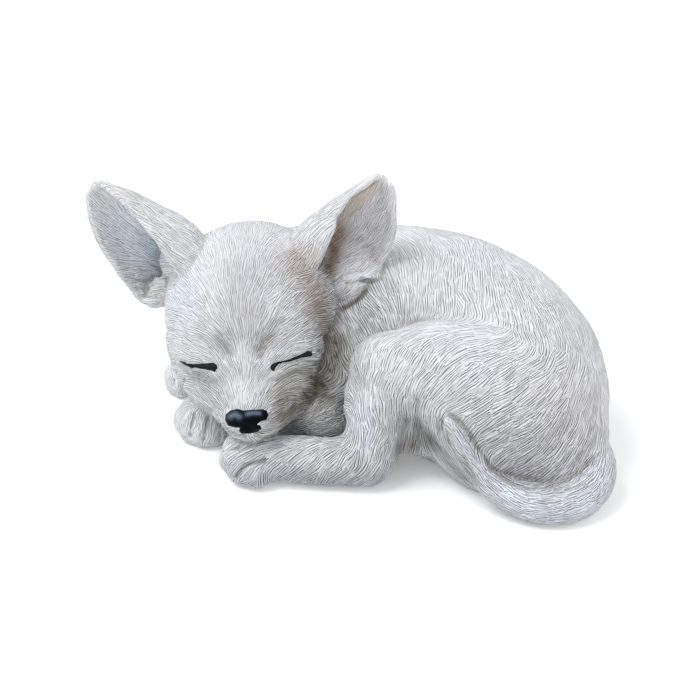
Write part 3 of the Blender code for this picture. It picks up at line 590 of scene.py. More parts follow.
# Strokes of the modelling tool: places of the camera's picture, then the stroke's half width and its height.
# A negative height presses in.
SCULPT = (
    # forehead, brows, bridge of the nose
    (((244, 345), (245, 300)), 3.5, -0.4),
    (((262, 356), (269, 340), (275, 328)), 4.8, -1.3),
    (((228, 353), (217, 339)), 4.5, -1),
    (((285, 341), (306, 330)), 8, 0.9),
    (((206, 343), (190, 338)), 7, 0.6),
    (((243, 352), (243, 400)), 4.2, 0.7),
    (((222, 382), (229, 400)), 4.5, -0.6),
    (((262, 384), (267, 400)), 4.5, -0.6),
    # closed eyes: the lids, the crease between them and the lashes
    (((276, 357), (290, 353), (304, 348)), 3.2, 0.6),
    (((271, 370), (276, 363), (290, 361), (303, 355), (312, 351)), 1.1, -0.7),
    (((277, 374), (291, 368), (306, 361)), 1.8, 0.8),
    (((190, 357), (206, 359)), 3.2, 0.6),
    (((180, 361), (190, 365), (205, 366), (216, 368)), 1.3, -0.7),
    (((190, 372), (204, 376), (215, 378)), 1.7, 0.7),
    (((193, 370), (191, 376)), 0.8, 0.5),
    (((198, 371), (197, 378)), 0.8, 0.5),
    (((203, 373), (203, 380)), 0.8, 0.5),
    (((208, 374), (209, 381)), 0.8, 0.5),
    # muzzle and mouth
    (((221, 419),), 4.5, 0.7),
    (((275, 415),), 5, 0.6),
    (((244, 435), (232, 433), (220, 425)), 1, -0.7),
    (((256, 434), (270, 430), (284, 419), (296, 405)), 1.1, -0.8),
    # cheek ruff
    (((326, 331), (338, 336)), 1.3, 1),
    (((324, 338), (337, 343)), 0.9, -0.9),
    (((322, 344), (337, 350)), 1.3, 1.1),
    (((320, 351), (336, 357)), 0.9, -0.9),
    (((318, 357), (335, 364)), 1.3, 1.1),
    (((316, 364), (331, 371)), 0.9, -0.9),
    (((314, 370), (329, 378)), 1.3, 1.1),
    (((311, 377), (324, 386)), 0.9, -0.9),
    (((308, 383), (320, 393)), 1.3, 1.1),
    (((304, 392), (312, 401)), 0.9, -0.8),
    (((299, 397), (307, 407)), 1.3, 0.9),
    # foot, near forepaw and far forepaw: the toes and the clefts between them
    (((231, 457),), 3.8, 1),
    (((251, 474),), 4, 1.1),
    (((264, 460), (250, 463), (241, 469), (235, 478)), 1.3, -1.9),
    (((238, 447), (228, 450), (222, 451)), 1.2, -1),
    (((232, 466), (226, 465)), 0.9, -0.7),
    (((181, 424),), 3.6, 0.8),
    (((197, 430),), 3.4, 0.9),
    (((213, 435),), 3.2, 0.8),
    (((194, 414), (191, 425), (190, 436)), 1.2, -1.3),
    (((208, 418), (206, 428), (204, 440)), 1.2, -1.3),
    (((221, 422), (221, 432), (220, 441)), 1.1, -1),
    (((176, 372), (174, 380), (174, 386)), 1.1, -1),
    (((184, 380), (182, 387), (181, 392)), 1.1, -1),
    (((169, 377),), 2.8, 0.6),
    (((178, 386),), 2.8, 0.6),
    # thigh, shank and belly
    (((400, 322), (425, 319), (450, 320)), 3, -0.6),
    (((416, 402), (417, 425), (412, 446)), 3, -1.4),
    (((374, 402), (377, 440)), 4.5, -0.5),
    (((352, 340), (364, 326), (376, 312)), 3, -0.8),
    (((300, 398), (330, 399), (348, 404)), 3, -0.8),
    (((304, 414), (330, 410)), 5.5, 1.6),
    # the tail's inner edge
    (((450, 416), (460, 422), (470, 434), (482, 454), (492, 469), (508, 481), (532, 488), (556, 485), (580, 472),
      (598, 454)), 1.4, -0.8),
    (((441, 421), (453, 438), (464, 456), (473, 478)), 1.2, -0.8),
    (((447, 421), (458, 430), (468, 445), (480, 464), (494, 481), (514, 493), (540, 499)), 3, 0.7),
    # ears: rolled rims, and the folds at the foot of each
    (((318, 262), (322, 240), (340, 218), (362, 197), (383, 177)), 2.2, 0.8),
    (((106, 183), (125, 197), (146, 217), (163, 242)), 2, 0.7),
    (((344, 278), (352, 275), (364, 276), (378, 277)), 1.1, 1.2),
    (((346, 283), (360, 281), (371, 282)), 1.1, -0.8),
    (((366, 292), (355, 303), (344, 308)), 1.3, -1),
    (((351, 296),), 4, 0.6),
    (((338, 288), (348, 286)), 1, 0.5),
    (((137, 276), (149, 275), (158, 279)), 1, 0.9),
    (((139, 284), (150, 285), (159, 288)), 1, 0.9),
    (((142, 292), (152, 293), (160, 296)), 1, 0.9),
    (((146, 300), (154, 302)), 1, 0.8),
)
# Rounds of easing that take the facets out of each casting, and how gradually they change at its border
EASING = {"body_casting": 26, "head_casting": 12, "left_ear": 9, "right_ear": 9, "near_hind_leg": 14,
          "near_forepaw": 9, "far_forepaw": 8, "tail": 12}
EASING_FADE = 6
# The first easing, of the voxels' steps; the rubbing of joints and folds; the joints' fading
STEP_WEIGHT, STEP_ROUNDS = 0.6, 4
RUBBING_ROUNDS = 70
JOINT_FADE = 12
# Where joints are rubbed: the leg's above the floor, the ears' above their feet, the tail's behind the haunch and
# low down, and the neck's on the far side. Elsewhere a crease parts the two forms.
LEG_JOINT_BOTTOM = 0.008
EAR_JOINT_BOTTOM = 0.070
TAIL_JOINT_START = 0.098
TAIL_JOINT_TOP = 0.02
NECK_JOINT_START = 0.030


def coat():
    """The whole skin, eased and modelled, with its net and the casting that each vertex belongs to."""
    skin = fused_skin()
    net = Net(skin)
    owner = settled_castings(casting_of(coords(skin)), net)
    eased(skin, np.full(net.count, STEP_WEIGHT), STEP_ROUNDS)
    rounds = np.array([EASING[name] for name in CASTINGS], float)[owner]
    eased(skin, net.spread(rounds / max(EASING.values()), EASING_FADE), max(EASING.values()))
    spots = coords(skin)
    soft = np.zeros(net.count)
    for first, second, width, place in (
        ("body_casting", "near_hind_leg", 7, spots[:, 2] > LEG_JOINT_BOTTOM),
        ("head_casting", "left_ear", 7, spots[:, 2] > EAR_JOINT_BOTTOM),
        ("head_casting", "right_ear", 7, spots[:, 2] > EAR_JOINT_BOTTOM),
        ("body_casting", "tail", 6, (spots[:, 0] > TAIL_JOINT_START) | (spots[:, 2] < TAIL_JOINT_TOP)),
        ("body_casting", "head_casting", 7, spots[:, 1] > NECK_JOINT_START),
    ):
        soft = np.maximum(soft, border(owner, net, first, second, width) * place)
    eased(skin, net.spread(soft, JOINT_FADE), RUBBING_ROUNDS)
    spots = coords(skin)
    faces_to = normals(skin)
    spots -= faces_to * JOINT_FILL
    for places, reach, move in GRABS:
        spots += touched(skin, spots, places, reach)[:, None] * (np.array(move) / MM_IN_METRE)
    put_coords(skin, spots)
    eased(skin, sum(touched(skin, spots, places, reach) for places, reach in RUBBED), RUBBING_ROUNDS)
    spots = coords(skin)
    faces_to = normals(skin)
    for places, width, height in SCULPT:
        spots += height / MM_IN_METRE * touched(skin, spots, places, width)[:, None] * faces_to
    put_coords(skin, boxed(spots))
    return skin, net, owner


def boxed(spots):
    """The same places, none outside the box of the solids."""
    return np.clip(spots, CAD_BOX[0], CAD_BOX[1])


# Carving: the spread of its hollows, the span over which two patches blend, the size of a tuft, and the start of
# the random draws
HOLLOW_SPREAD = 14
BLEND_START, BLEND_SPAN = 0.3, 0.4
TUFT_WIDTH, TUFT_LENGTH, TUFT_HEIGHT = 0.0026, 0.014, 0.00022
CHANCE_START = 7


def carve(skin, net, owner):
    """Combs the coat, raises its tufts and keeps the patches' maps for the paint."""
    spots, faces_to = coords(skin), normals(skin)
    hollow = np.zeros(net.count)
    for axis in range(3):
        hollow += (net.spread(spots[:, axis], HOLLOW_SPREAD) - spots[:, axis]) * faces_to[:, axis]
    groups = np.array([list(PATCH).index(COMB_GROUP[name]) for name in CASTINGS])[owner]
    corners = listed(skin.data.loops, "vertex_index", np.int32)
    lead = corners.reshape(-1, 4)[:, 0]
    patch = np.zeros((2, net.count), np.int64)
    layers = [[], []]
    started = [0, 0]
    blend, depth = np.zeros((2, net.count))
    chance = np.random.default_rng(CHANCE_START)
    for number, (group, reach) in enumerate(PATCH.items()):
        chosen = np.nonzero(groups == number)[0]
        here, out = spots[chosen], faces_to[chosen]
        direction, depth[chosen] = combed(comb_strokes(skin, group), here, out)
        points = np.concatenate((here, out * SEED_TURN), 1)
        order = chance.permutation(len(chosen))[:SEED_TRIES]
        margins = []
        for layer in range(2):
            centres = points[seeds(points, reach, order)]
            near, margin = nearest_two(points, centres)
            maps = patch_maps(here, out, direction, near, len(centres), HAIR_SIZE[group], chance)
            layers[layer].append(maps)
            patch[layer, chosen] = near + started[layer]
            started[layer] += len(centres)
            margins.append(margin)
            order = order[np.argsort(margin[order])]
        blend[chosen] = margins[1] / (margins[0] + margins[1] + 1e-9)
    blend = np.clip((blend - BLEND_START) / BLEND_SPAN, 0, 1)
    tufts = np.zeros((2, net.count))
    for layer, name in enumerate(("comb_a", "comb_b")):
        middles, fits, shifts = (np.concatenate(rows) for rows in zip(*layers[layer]))
        flat = mapped(spots, patch[layer], middles, fits, shifts)
        tufts[layer] = lumps(flat[:, 0] / TUFT_WIDTH, flat[:, 1] / TUFT_LENGTH, layer)
        flat = mapped(spots[corners], np.repeat(patch[layer][lead], 4), middles, fits, shifts)
        kept_on(skin, name, "FLOAT2", "CORNER", flat)
    rise = (tufts[0] * (1 - blend) + tufts[1] * blend) * depth
    put_coords(skin, boxed(spots + (rise * TUFT_HEIGHT)[:, None] * faces_to))
    kept_on(skin, "coat", "FLOAT_VECTOR", "POINT", np.stack((blend, depth, hollow * MM_IN_METRE), 1))
    # the washes, painted shade and painted highlights, kept for the paint
    kept_on(skin, "wash_and_painted_light", "FLOAT_VECTOR", "POINT", washes_and_painted_light_on(skin, spots))


# The painter's washes, with painted shade and painted highlights: places of the picture, the reach of each, and
# how it scales red, green and blue; below 1 darkens and above 1 lightens
WASHES_AND_PAINTED_LIGHT = (
    # left ear: tan wash inside the rolled rim; painted shadow in the pocket at its foot, under the flap and in the
    # crease by the neck; painted highlights inside the cup, on the pale lobe and on the flap's ridge
    (((372, 186), (356, 202), (340, 222), (330, 242)), 5, (0.90, 0.80, 0.69)),
    (((340, 232), (334, 246), (330, 264)), 5, (0.55, 0.47, 0.41)),
    (((378, 200), (366, 232)), 11, (1.12, 1.09, 1.11)),
    (((345, 262), (372, 256)), 7, (1.10, 1.07, 1.09)),
    (((333, 250), (331, 261), (329, 271)), 4.2, (0.52, 0.46, 0.41)),
    (((350, 293),), 4.5, (1.04, 1.02, 0.99)),
    (((344, 279), (358, 276), (374, 275)), 1.3, (1.14, 1.14, 1.16)),
    (((347, 284), (362, 281)), 1.2, (0.66, 0.62, 0.57)),
    (((367, 287), (357, 300), (343, 309)), 1.7, (0.50, 0.47, 0.43)),
    # right ear: painted highlight and blue-grey painted shade inside the cup, warmer towards the tip, darker at the
    # foot of the folds
    (((122, 225), (142, 250)), 11, (1.06, 1.10, 1.14)),
    (((148, 246), (160, 266)), 5.5, (0.82, 0.88, 0.96)),
    (((112, 190), (132, 206)), 5, (0.95, 0.93, 0.90)),
    (((140, 284), (156, 296)), 4.5, (0.92, 0.91, 0.87)),
    # crown, forehead and temples: the crown and forehead greyer, the left side bluer, tan wash and painted shade on
    # the right temple, painted shadows in the brow furrows
    (((246, 228), (248, 260)), 17, (0.82, 0.825, 0.835)),
    (((246, 285), (246, 320)), 13, (0.82, 0.81, 0.82)),
    (((186, 290),), 12, (0.98, 1.02, 1.07)),
    (((296, 262), (318, 300)), 11, (0.77, 0.69, 0.645)),
    (((320, 306), (326, 330)), 8.5, (0.74, 0.68, 0.63)),
    (((259, 350), (265, 341), (272, 335)), 2.7, (0.66, 0.60, 0.56)),
    (((228, 350), (219, 340)), 3.4, (0.74, 0.73, 0.72)),
    # cheeks, muzzle and chin: olive-brown wash and painted shade down the right cheek and the right side of the
    # muzzle; painted shadows under the right eye, beside the bridge of the nose and under the chin
    (((334, 344), (330, 362), (320, 382)), 8.3, (0.37, 0.35, 0.305)),
    (((318, 384), (300, 404), (284, 420)), 5.5, (0.66, 0.62, 0.55)),
    (((300, 368), (284, 392)), 7.5, (0.86, 0.84, 0.80)),
    (((282, 396), (279, 414)), 5.8, (0.62, 0.585, 0.54)),
    (((196, 374), (212, 379)), 2.8, (0.80, 0.81, 0.82)),
    (((204, 384), (214, 404)), 5, (0.90, 0.92, 0.94)),
    (((226, 428), (240, 435), (262, 432)), 2.4, (0.76, 0.73, 0.68)),
    # trunk, chest and belly: painted shade on the chest, the shoulder, along the belly's lower edge and beside the
    # tail's inner edge; painted highlights along the tail, on the thigh, the back's right edge and the shank; darker
    # low on the haunch and along the top of the back
    (((300, 408), (336, 402)), 11, (0.67, 0.66, 0.635)),
    (((345, 345),), 12, (0.90, 0.91, 0.91)),
    (((400, 448), (416, 446), (432, 442)), 6, (0.52, 0.51, 0.48)),
    (((424, 432), (444, 454), (464, 478)), 5.5, (0.60, 0.62, 0.61)),
    (((438, 426), (450, 444), (461, 462), (474, 481)), 2.6, (0.70, 0.71, 0.71)),
    (((450, 425), (468, 446), (482, 468), (500, 489), (530, 501)), 3.6, (1.13, 1.14, 1.18)),
    (((500, 438), (540, 456)), 12, (0.92, 0.915, 0.925)),
    (((466, 434), (484, 456), (510, 474), (540, 478)), 6, (0.80, 0.79, 0.80)),
    (((590, 430), (580, 460)), 7, (0.92, 0.90, 0.91)),
    (((606, 470), (592, 498), (556, 514), (516, 502)), 8.5, (1.06, 1.09, 1.14)),
    (((560, 400),), 25, (1.02, 0.995, 1.01)),
    (((430, 330), (480, 345)), 12, (1.08, 1.08, 1.10)),
    (((450, 366), (476, 372)), 13, (1.06, 1.06, 1.08)),
    (((602, 372), (604, 404)), 11, (1.10, 1.08, 1.09)),
    (((364, 412), (366, 440)), 9, (1.05, 1.06, 1.09)),
    (((440, 248), (490, 262)), 17, (0.95, 0.95, 0.965)),
    # foot and forepaws: painted shade low down near the floor and on the foot's top under the chin; the foot a
    # little darker
    (((230, 470), (250, 482), (300, 478), (376, 482)), 6.2, (0.74, 0.75, 0.77)),
    (((250, 460), (292, 466)), 8, (0.92, 0.93, 0.95)),
    (((354, 468), (382, 474)), 7, (0.85, 0.85, 0.86)),
    (((262, 440), (300, 436)), 4, (0.84, 0.84, 0.84)),
)


def washes_and_painted_light_on(skin, spots):
    """How each vertex's red, green and blue are scaled by the washes, the painted shade and the painted highlights.
    """
    left = np.ones_like(spots)
    for places, reach, rgb_factor in WASHES_AND_PAINTED_LIGHT:
        left *= 1 - touched(skin, spots, places, reach)[:, None] * (1 - np.array(rgb_factor))
    return left


# Outlines of the painted forms in the camera's picture
LEFT_EYE = ((270.3, 367), (272, 364), (276.5, 362), (284, 360.6), (289.6, 359.2), (293.5, 357.3), (301, 354.4),
            (307.5, 351), (311.8, 351.4), (312.4, 354), (311.7, 356.4), (307, 356.8), (301, 358), (295.4, 359.9),
            (291.5, 361.3), (284, 362.4), (278.4, 364.2), (275.3, 368), (274.4, 371), (272.6, 371), (271, 369.6))
RIGHT_EYE = ((178.8, 360.8), (184.5, 361.6), (187.5, 363.6), (193, 364), (200, 363.6), (207.3, 363.2),
             (213.5, 362.6), (216.8, 364.8), (217.4, 368), (215, 372.2), (211.5, 370.6), (206, 369.6),
             (200, 368.6), (195, 367.6), (191.5, 368.6), (188, 366.4), (182.7, 364.4))
NOSE = ((225, 420.4), (225.6, 414.5), (230.4, 410.4), (237.5, 408.8), (243.5, 410.4), (250, 409.8), (262.7, 409),
        (267, 410.8), (268.6, 415), (266.5, 419.8), (261, 421.2), (256.8, 424.6), (260.6, 425.8), (261.4, 429),
        (258, 431.6), (250, 433.8), (241.5, 433.6), (238.8, 431.2), (240.2, 428), (234, 427.4), (228, 425.6))
# Modelling of the nose: the groove between the lobes, the lobes, the wing's knob, the nostrils
NOSE_SCULPT = (
    (((243.5, 409), (245.8, 417), (243.5, 424), (242.5, 429)), 0.6, -0.9),
    (((230, 418), (239, 419)), 3.4, 1.6),
    (((234, 425), (241, 427)), 1, -0.5),
    (((248, 417), (263, 415)), 2.8, 1.3),
    (((261.5, 409), (262.5, 418)), 0.6, -0.6),
    (((265.5, 413),), 1.6, 0.6),
    (((252, 420), (258, 419)), 1.2, -0.7),
    (((247, 429), (256, 429)), 2, 0.4),
)
# Where a blue-grey highlight is painted on the nose's black paint, and the reach
NOSE_SHEEN = (
    (((231, 416), (235, 414), (239, 416)), 1.8),
    (((248, 413.5), (259, 413)), 1.3),
)


# Painted forms: their grain in pixels of the picture, how deep they reach into the skin and how high they stand
FORM_GRAIN = 0.3
FORM_SINK = 0.0006
NOSE_CROWN = 0.0011
EYE_CROWN = 0.0004


def painted_form(skin, name, outline, crown, shoulder, sculpt=(), sheen=()):
    """A painted form that lies on the skin within an outline, as high as its crown past its rounded shoulder,
    whose width is in pixels of the picture."""
    made = placed(name, bpy.data.meshes.new(name))
    with editing(made.data) as mesh:
        rim = [mesh.verts.new((u, v, -1)) for u, v in outline]
        top = bmesh.ops.extrude_face_region(mesh, geom=[mesh.faces.new(rim)])["geom"]
        raised = [part for part in top if isinstance(part, bmesh.types.BMVert)]
        bmesh.ops.translate(mesh, verts=raised, vec=(0, 0, 2))
        bmesh.ops.recalc_face_normals(mesh, faces=mesh.faces)
    worked(made, ("REMESH", {"mode": "VOXEL", "voxel_size": FORM_GRAIN}),
           ("SMOOTH", {"factor": EASE_FACTOR, "iterations": 3}))
    flat = coords(made)
    path = np.array((*outline, outline[0]), float)
    inwards = np.clip(along_line(flat[:, :2], path) / shoulder, 0, 1)
    rise = np.clip((flat[:, 2] + 1) / 2, 0, 1)
    height = rise * (FORM_SINK + crown * np.sqrt(1 - (1 - inwards) ** 2)) - FORM_SINK
    places = [seen(skin, u, v) for u, v in flat[:, :2].tolist()]
    ahead = unit(np.mean([normal for _, normal in places], axis=0))
    under = np.array([spot for spot, _ in places])
    spots = under + height[:, None] * ahead
    for line, width, rise_by in sculpt:
        spots += (rise * (rise_by / MM_IN_METRE) * touched(skin, spots, line, width))[:, None] * ahead
    put_coords(made, spots)
    # a blue-grey highlight painted on the nose, along the sheen's lines
    painted_sheen = sum((touched(skin, under, line, reach) for line, reach in sheen), np.zeros(len(spots)))
    kept_on(made, "painted_sheen", "FLOAT", "POINT", painted_sheen)
    with editing(made.data) as mesh:
        if mesh.calc_volume(signed=True) < 0:
            bmesh.ops.reverse_faces(mesh, faces=mesh.faces)
    worked(made, ("SMOOTH", {"factor": EASE_FACTOR, "iterations": 1}))
    made.data.shade_smooth()
    return made


# Where the body's skin is cut in two, so that neither piece has too many triangles
HAUNCH_START = 0.040


def parted(skin, owner):
    """The skin as closed pieces, one for each casting and two for the body, capped where they meet."""
    data = skin.data
    names = (*CASTINGS, "haunch")
    owner = np.where((owner == 0) & (coords(skin)[:, 0] > HAUNCH_START), len(CASTINGS), owner)
    kept_on(skin, "facing", "FLOAT_VECTOR", "POINT", normals(skin))
    data.materials.clear()
    marks = {}
    for name in names:
        mark = bpy.data.materials.new("part_of_" + name)
        marks[mark.name] = name
        data.materials.append(mark)
    owners = owner[listed(data.loops, "vertex_index", np.int32).reshape(-1, 4)]
    data.polygons.foreach_set("material_index", np.sort(owners, axis=1)[:, 1].astype(np.int32))
    select_only(skin)
    bpy.ops.object.mode_set(mode="EDIT")
    bpy.ops.mesh.separate(type="MATERIAL")
    bpy.ops.object.mode_set(mode="OBJECT")
    pieces = {}
    for piece in list(bpy.context.selected_objects):
        name = marks[piece.data.materials[piece.data.polygons[0].material_index].name]
        pieces[name] = piece
        piece.name = name + "_coat"
        piece.data.materials.clear()
        piece.data.polygons.foreach_set("material_index", np.zeros(len(piece.data.polygons), np.int32))
        capped(piece)
    return pieces


def capped(piece):
    """Closes the openings of a piece with flat caps inside the figure; the skin keeps the way it faced."""
    data = piece.data
    with editing(data) as mesh:
        open_edges = [edge for edge in mesh.edges if edge.is_boundary]
        lids = bmesh.ops.holes_fill(mesh, edges=open_edges, sides=0)["faces"]
        for flat in (*open_edges, *lids):
            flat.smooth = False
        bmesh.ops.poke(mesh, faces=lids)
    facing = listed(data.attributes["facing"].data, "vector", width=3).reshape(-1, 3)
    corners = listed(data.loops, "vertex_index", np.int32)
    smooth = listed(data.polygons, "use_smooth", bool)
    sides = listed(data.polygons, "loop_total", np.int32)
    rows = facing[corners] * np.repeat(smooth, sides)[:, None]
    data.attributes.remove(data.attributes["facing"])
    data.normals_split_custom_set(rows.tolist())


def shader_of(name, roughness, specular=0.5):
    material = bpy.data.materials.new(name)
    material.use_nodes = True
    shader = material.node_tree.nodes["Principled BSDF"]
    shader.inputs["Roughness"].default_value = roughness
    shader.inputs["Specular IOR Level"].default_value = specular
    return material, material.node_tree, shader


def node(tree, kind, values=(), **settings):
    """A shader node, with its settings and with values or links put on its inputs."""
    made = tree.nodes.new("ShaderNode" + kind)
    for key, value in settings.items():
        setattr(made, key, value)
    for key, value in dict(values).items():
        if isinstance(value, bpy.types.NodeSocket):
            tree.links.new(value, made.inputs[key])
        else:
            made.inputs[key].default_value = value
    return made


def maths(tree, operation, first, second=0.0, clamp=False):
    return node(tree, "Math", {0: first, 1: second}, operation=operation, use_clamp=clamp).outputs[0]


def ranged(tree, value, low, high, to_low=0.0, to_high=1.0, smooth=True):
    kind = "SMOOTHSTEP" if smooth else "LINEAR"
    return node(tree, "MapRange", {"Value": value, "From Min": low, "From Max": high, "To Min": to_low,
                                   "To Max": to_high}, interpolation_type=kind).outputs[0]


def mixed(tree, share, first, second, kind="MIX"):
    made = tree.nodes.new("ShaderNodeMix")
    made.data_type = "RGBA"
    made.blend_type = kind
    for socket, value in ((made.inputs[0], share), (made.inputs[6], first), (made.inputs[7], second)):
        if isinstance(value, bpy.types.NodeSocket):
            tree.links.new(value, socket)
        else:
            socket.default_value = value
    return made.outputs[2]


# Hair of the coat, in the flat maps: width and length of a lock, how far locks run into one another, and the
# clouds that sway them and how far
LOCK_WIDTH = 0.00145
LOCK_LENGTH = 0.030
LOCK_WANDER = 1.8
SWAY_SIZE = (0.006, 0.018)
SWAY = (0.0006, 0.0009, 0)
# Locks and the finer wisps: width, wander and shift of their grooves; width, length and shift of the clouds in
# which they fade; where fading starts and ends in a cloud, its least and its most
LOCKS = (LOCK_WIDTH, LOCK_WANDER, 0.0), (LOCK_WIDTH * 1.4, LOCK_LENGTH * 0.7, 7.0), (0.62, 0.84, 0, 0.7)
WISPS = (LOCK_WIDTH * 0.71, LOCK_WANDER * 1.2, 5.0), (LOCK_WIDTH, LOCK_LENGTH * 0.5, 9.0), (0.54, 0.76, 0, 0.8)
# Single hairs: width, length, shift and detail of their noise
HAIRS = (LOCK_WIDTH * 0.45, LOCK_LENGTH * 0.6, 3.0, 1.0)
LOCK_SHARE, WISP_SHARE, HAIR_SHARE = 0.52, 0.32, 0.16
# Depth of the carving, and the grain's share of it
CARVING_DEPTH = 0.0011
GRAIN_SHARE = 0.10
# Paint of the coat: pale stone, warmer and cooler, the dry brushing on the locks, the dark wash in the carving,
# painted shade in the hollows, and the specks
STONE_WARM = (0.78, 0.785, 0.805, 1)
STONE_COOL = (0.83, 0.845, 0.885, 1)
BRUSHED = (0.93, 0.945, 0.975, 1)
CARVING_WASH = (0.21, 0.20, 0.195, 1)
HOLLOW_PAINTED_SHADE = (0.24, 0.22, 0.19, 1)
SPECK = (0.46, 0.44, 0.42, 1)
MOTTLING_SCALE = 38.0
GRAIN_SCALE = 2600.0
GROOVE_ROUGHNESS, LOCK_ROUGHNESS = 0.88, 0.68


def clouds(tree, place, width, length, shift=0.0, detail=0.0):
    """Noise drawn out along the hair."""
    where = node(tree, "Mapping", {"Vector": place, "Location": (shift, shift, 0),
                                   "Scale": (1 / width, 1 / length, 1)}).outputs[0]
    return node(tree, "TexNoise", {"Vector": where, "Scale": 1.0, "Detail": detail}, noise_dimensions="2D").outputs


def grooves(tree, place, width, wander, shift):
    """Carved lines a width apart that wander and run together: 0 in a groove, 1 on the lock beside it."""
    across = node(tree, "SeparateXYZ", {0: place}).outputs[0]
    drift = clouds(tree, place, width * 3.2, LOCK_LENGTH * 0.8, shift, 1.0)["Fac"]
    turn = maths(tree, "ADD", maths(tree, "DIVIDE", across, width), maths(tree, "MULTIPLY", drift, wander))
    wave = maths(tree, "ABSOLUTE", maths(tree, "SUBTRACT", maths(tree, "FRACT", turn), 0.5))
    return ranged(tree, wave, 0.5, 0.17)


def hair_relief(tree, attribute):
    """Height of the carved hair on one layer of patches, from 0 in a groove to 1 on a lock."""
    place = node(tree, "Attribute", attribute_name=attribute).outputs["Vector"]
    sway = node(tree, "VectorMath", {0: clouds(tree, place, *SWAY_SIZE, 0.0, 1.0)["Color"], 1: (0.5, 0.5, 0.5)},
                operation="SUBTRACT").outputs[0]
    sway = node(tree, "VectorMath", {0: sway, 1: SWAY}, operation="MULTIPLY").outputs[0]
    bent = node(tree, "VectorMath", {0: place, 1: sway}, operation="ADD").outputs[0]
    locks, wisps = (
        maths(tree, "MAXIMUM", grooves(tree, bent, *groove), ranged(tree, clouds(tree, bent, *cloud)["Fac"], *fade))
        for groove, cloud, fade in (LOCKS, WISPS))
    hair = ranged(tree, clouds(tree, bent, *HAIRS)["Fac"], 0.30, 0.70)
    locks, wisps, hair = (maths(tree, "MULTIPLY", relief, share) for relief, share in (
        (locks, LOCK_SHARE), (wisps, WISP_SHARE), (hair, HAIR_SHARE)))
    return maths(tree, "ADD", maths(tree, "ADD", locks, wisps), hair)


def coat_paint(name):
    """Cast stone, washed dark in the carving and brushed pale over it, with painted shade in its hollows, and the
    washes, painted shade and painted highlights laid on the skin.
    """
    material, tree, shader = shader_of(name, 0.8, 0.25)
    parts = node(tree, "SeparateXYZ", {0: node(tree, "Attribute", attribute_name="coat").outputs["Vector"]})
    blend, depth, hollow = parts.outputs
    relief = node(tree, "Mix", {0: blend, 2: hair_relief(tree, "comb_a"), 3: hair_relief(tree, "comb_b")},
                  data_type="FLOAT").outputs[0]
    place = node(tree, "TexCoord").outputs["Object"]
    broad = node(tree, "TexNoise", {"Vector": place, "Scale": MOTTLING_SCALE, "Detail": 3.0}).outputs["Fac"]
    grain = node(tree, "TexNoise", {"Vector": place, "Scale": GRAIN_SCALE, "Detail": 2.0}).outputs["Fac"]
    groove = maths(tree, "MULTIPLY", ranged(tree, relief, 0.78, 0.15),
                   ranged(tree, depth, 0.3, 1.2, 0.35, 1.0, smooth=False))
    stone = mixed(tree, ranged(tree, broad, 0.38, 0.64), STONE_WARM, STONE_COOL)
    stone = mixed(tree, ranged(tree, relief, 0.72, 0.95, 0, 0.8), stone, BRUSHED)
    colour = mixed(tree, groove, stone, CARVING_WASH)
    # painted shade, darker where the skin lies in a hollow
    colour = mixed(tree, ranged(tree, hollow, 0.05, 0.50, 0, 0.55), colour, HOLLOW_PAINTED_SHADE)
    colour = mixed(tree, ranged(tree, grain, 0.35, 0.65, 0, 0.08), colour, SPECK)
    # washes, painted shade and painted highlights scale the colour
    wash_and_painted_light = node(tree, "Attribute", attribute_name="wash_and_painted_light").outputs["Color"]
    tree.links.new(mixed(tree, 1.0, colour, wash_and_painted_light, "MULTIPLY"), shader.inputs["Base Color"])
    tree.links.new(ranged(tree, relief, 0, 1, GROOVE_ROUGHNESS, LOCK_ROUGHNESS), shader.inputs["Roughness"])
    height = maths(tree, "ADD", maths(tree, "MULTIPLY", relief, depth), maths(tree, "MULTIPLY", grain, GRAIN_SHARE))
    bump = node(tree, "Bump", {"Height": height, "Strength": 1.0, "Distance": CARVING_DEPTH})
    tree.links.new(bump.outputs[0], shader.inputs["Normal"])
    return material


# Plain paints: the colour, its darker mottling, roughness, scale of the mottling, and height of the grain
NOSE_GLOSS = (0.0025, 0.0035, 0.006, 1), (0.0015, 0.002, 0.003, 1), 0.26, 500.0, 0.00006
# The colour of the painted highlight on the nose: a blue-grey sheen
NOSE_PAINTED_SHEEN = (0.13, 0.165, 0.22, 1)
EYE_BLACK = (0.010, 0.011, 0.014, 1), (0.005, 0.005, 0.006, 1), 0.35, 700.0, 0.00006
PLATE_GREY = (0.42, 0.40, 0.37, 1), (0.34, 0.32, 0.30, 1), 0.75, 90.0, 0.0002
STOPPER_BLACK = (0.055, 0.055, 0.055, 1), (0.035, 0.035, 0.035, 1), 0.85, 160.0, 0.0002
DRAWN_STEEL = (0.56, 0.56, 0.57, 1), (0.48, 0.48, 0.50, 1), 0.38, 400.0, 0.00005


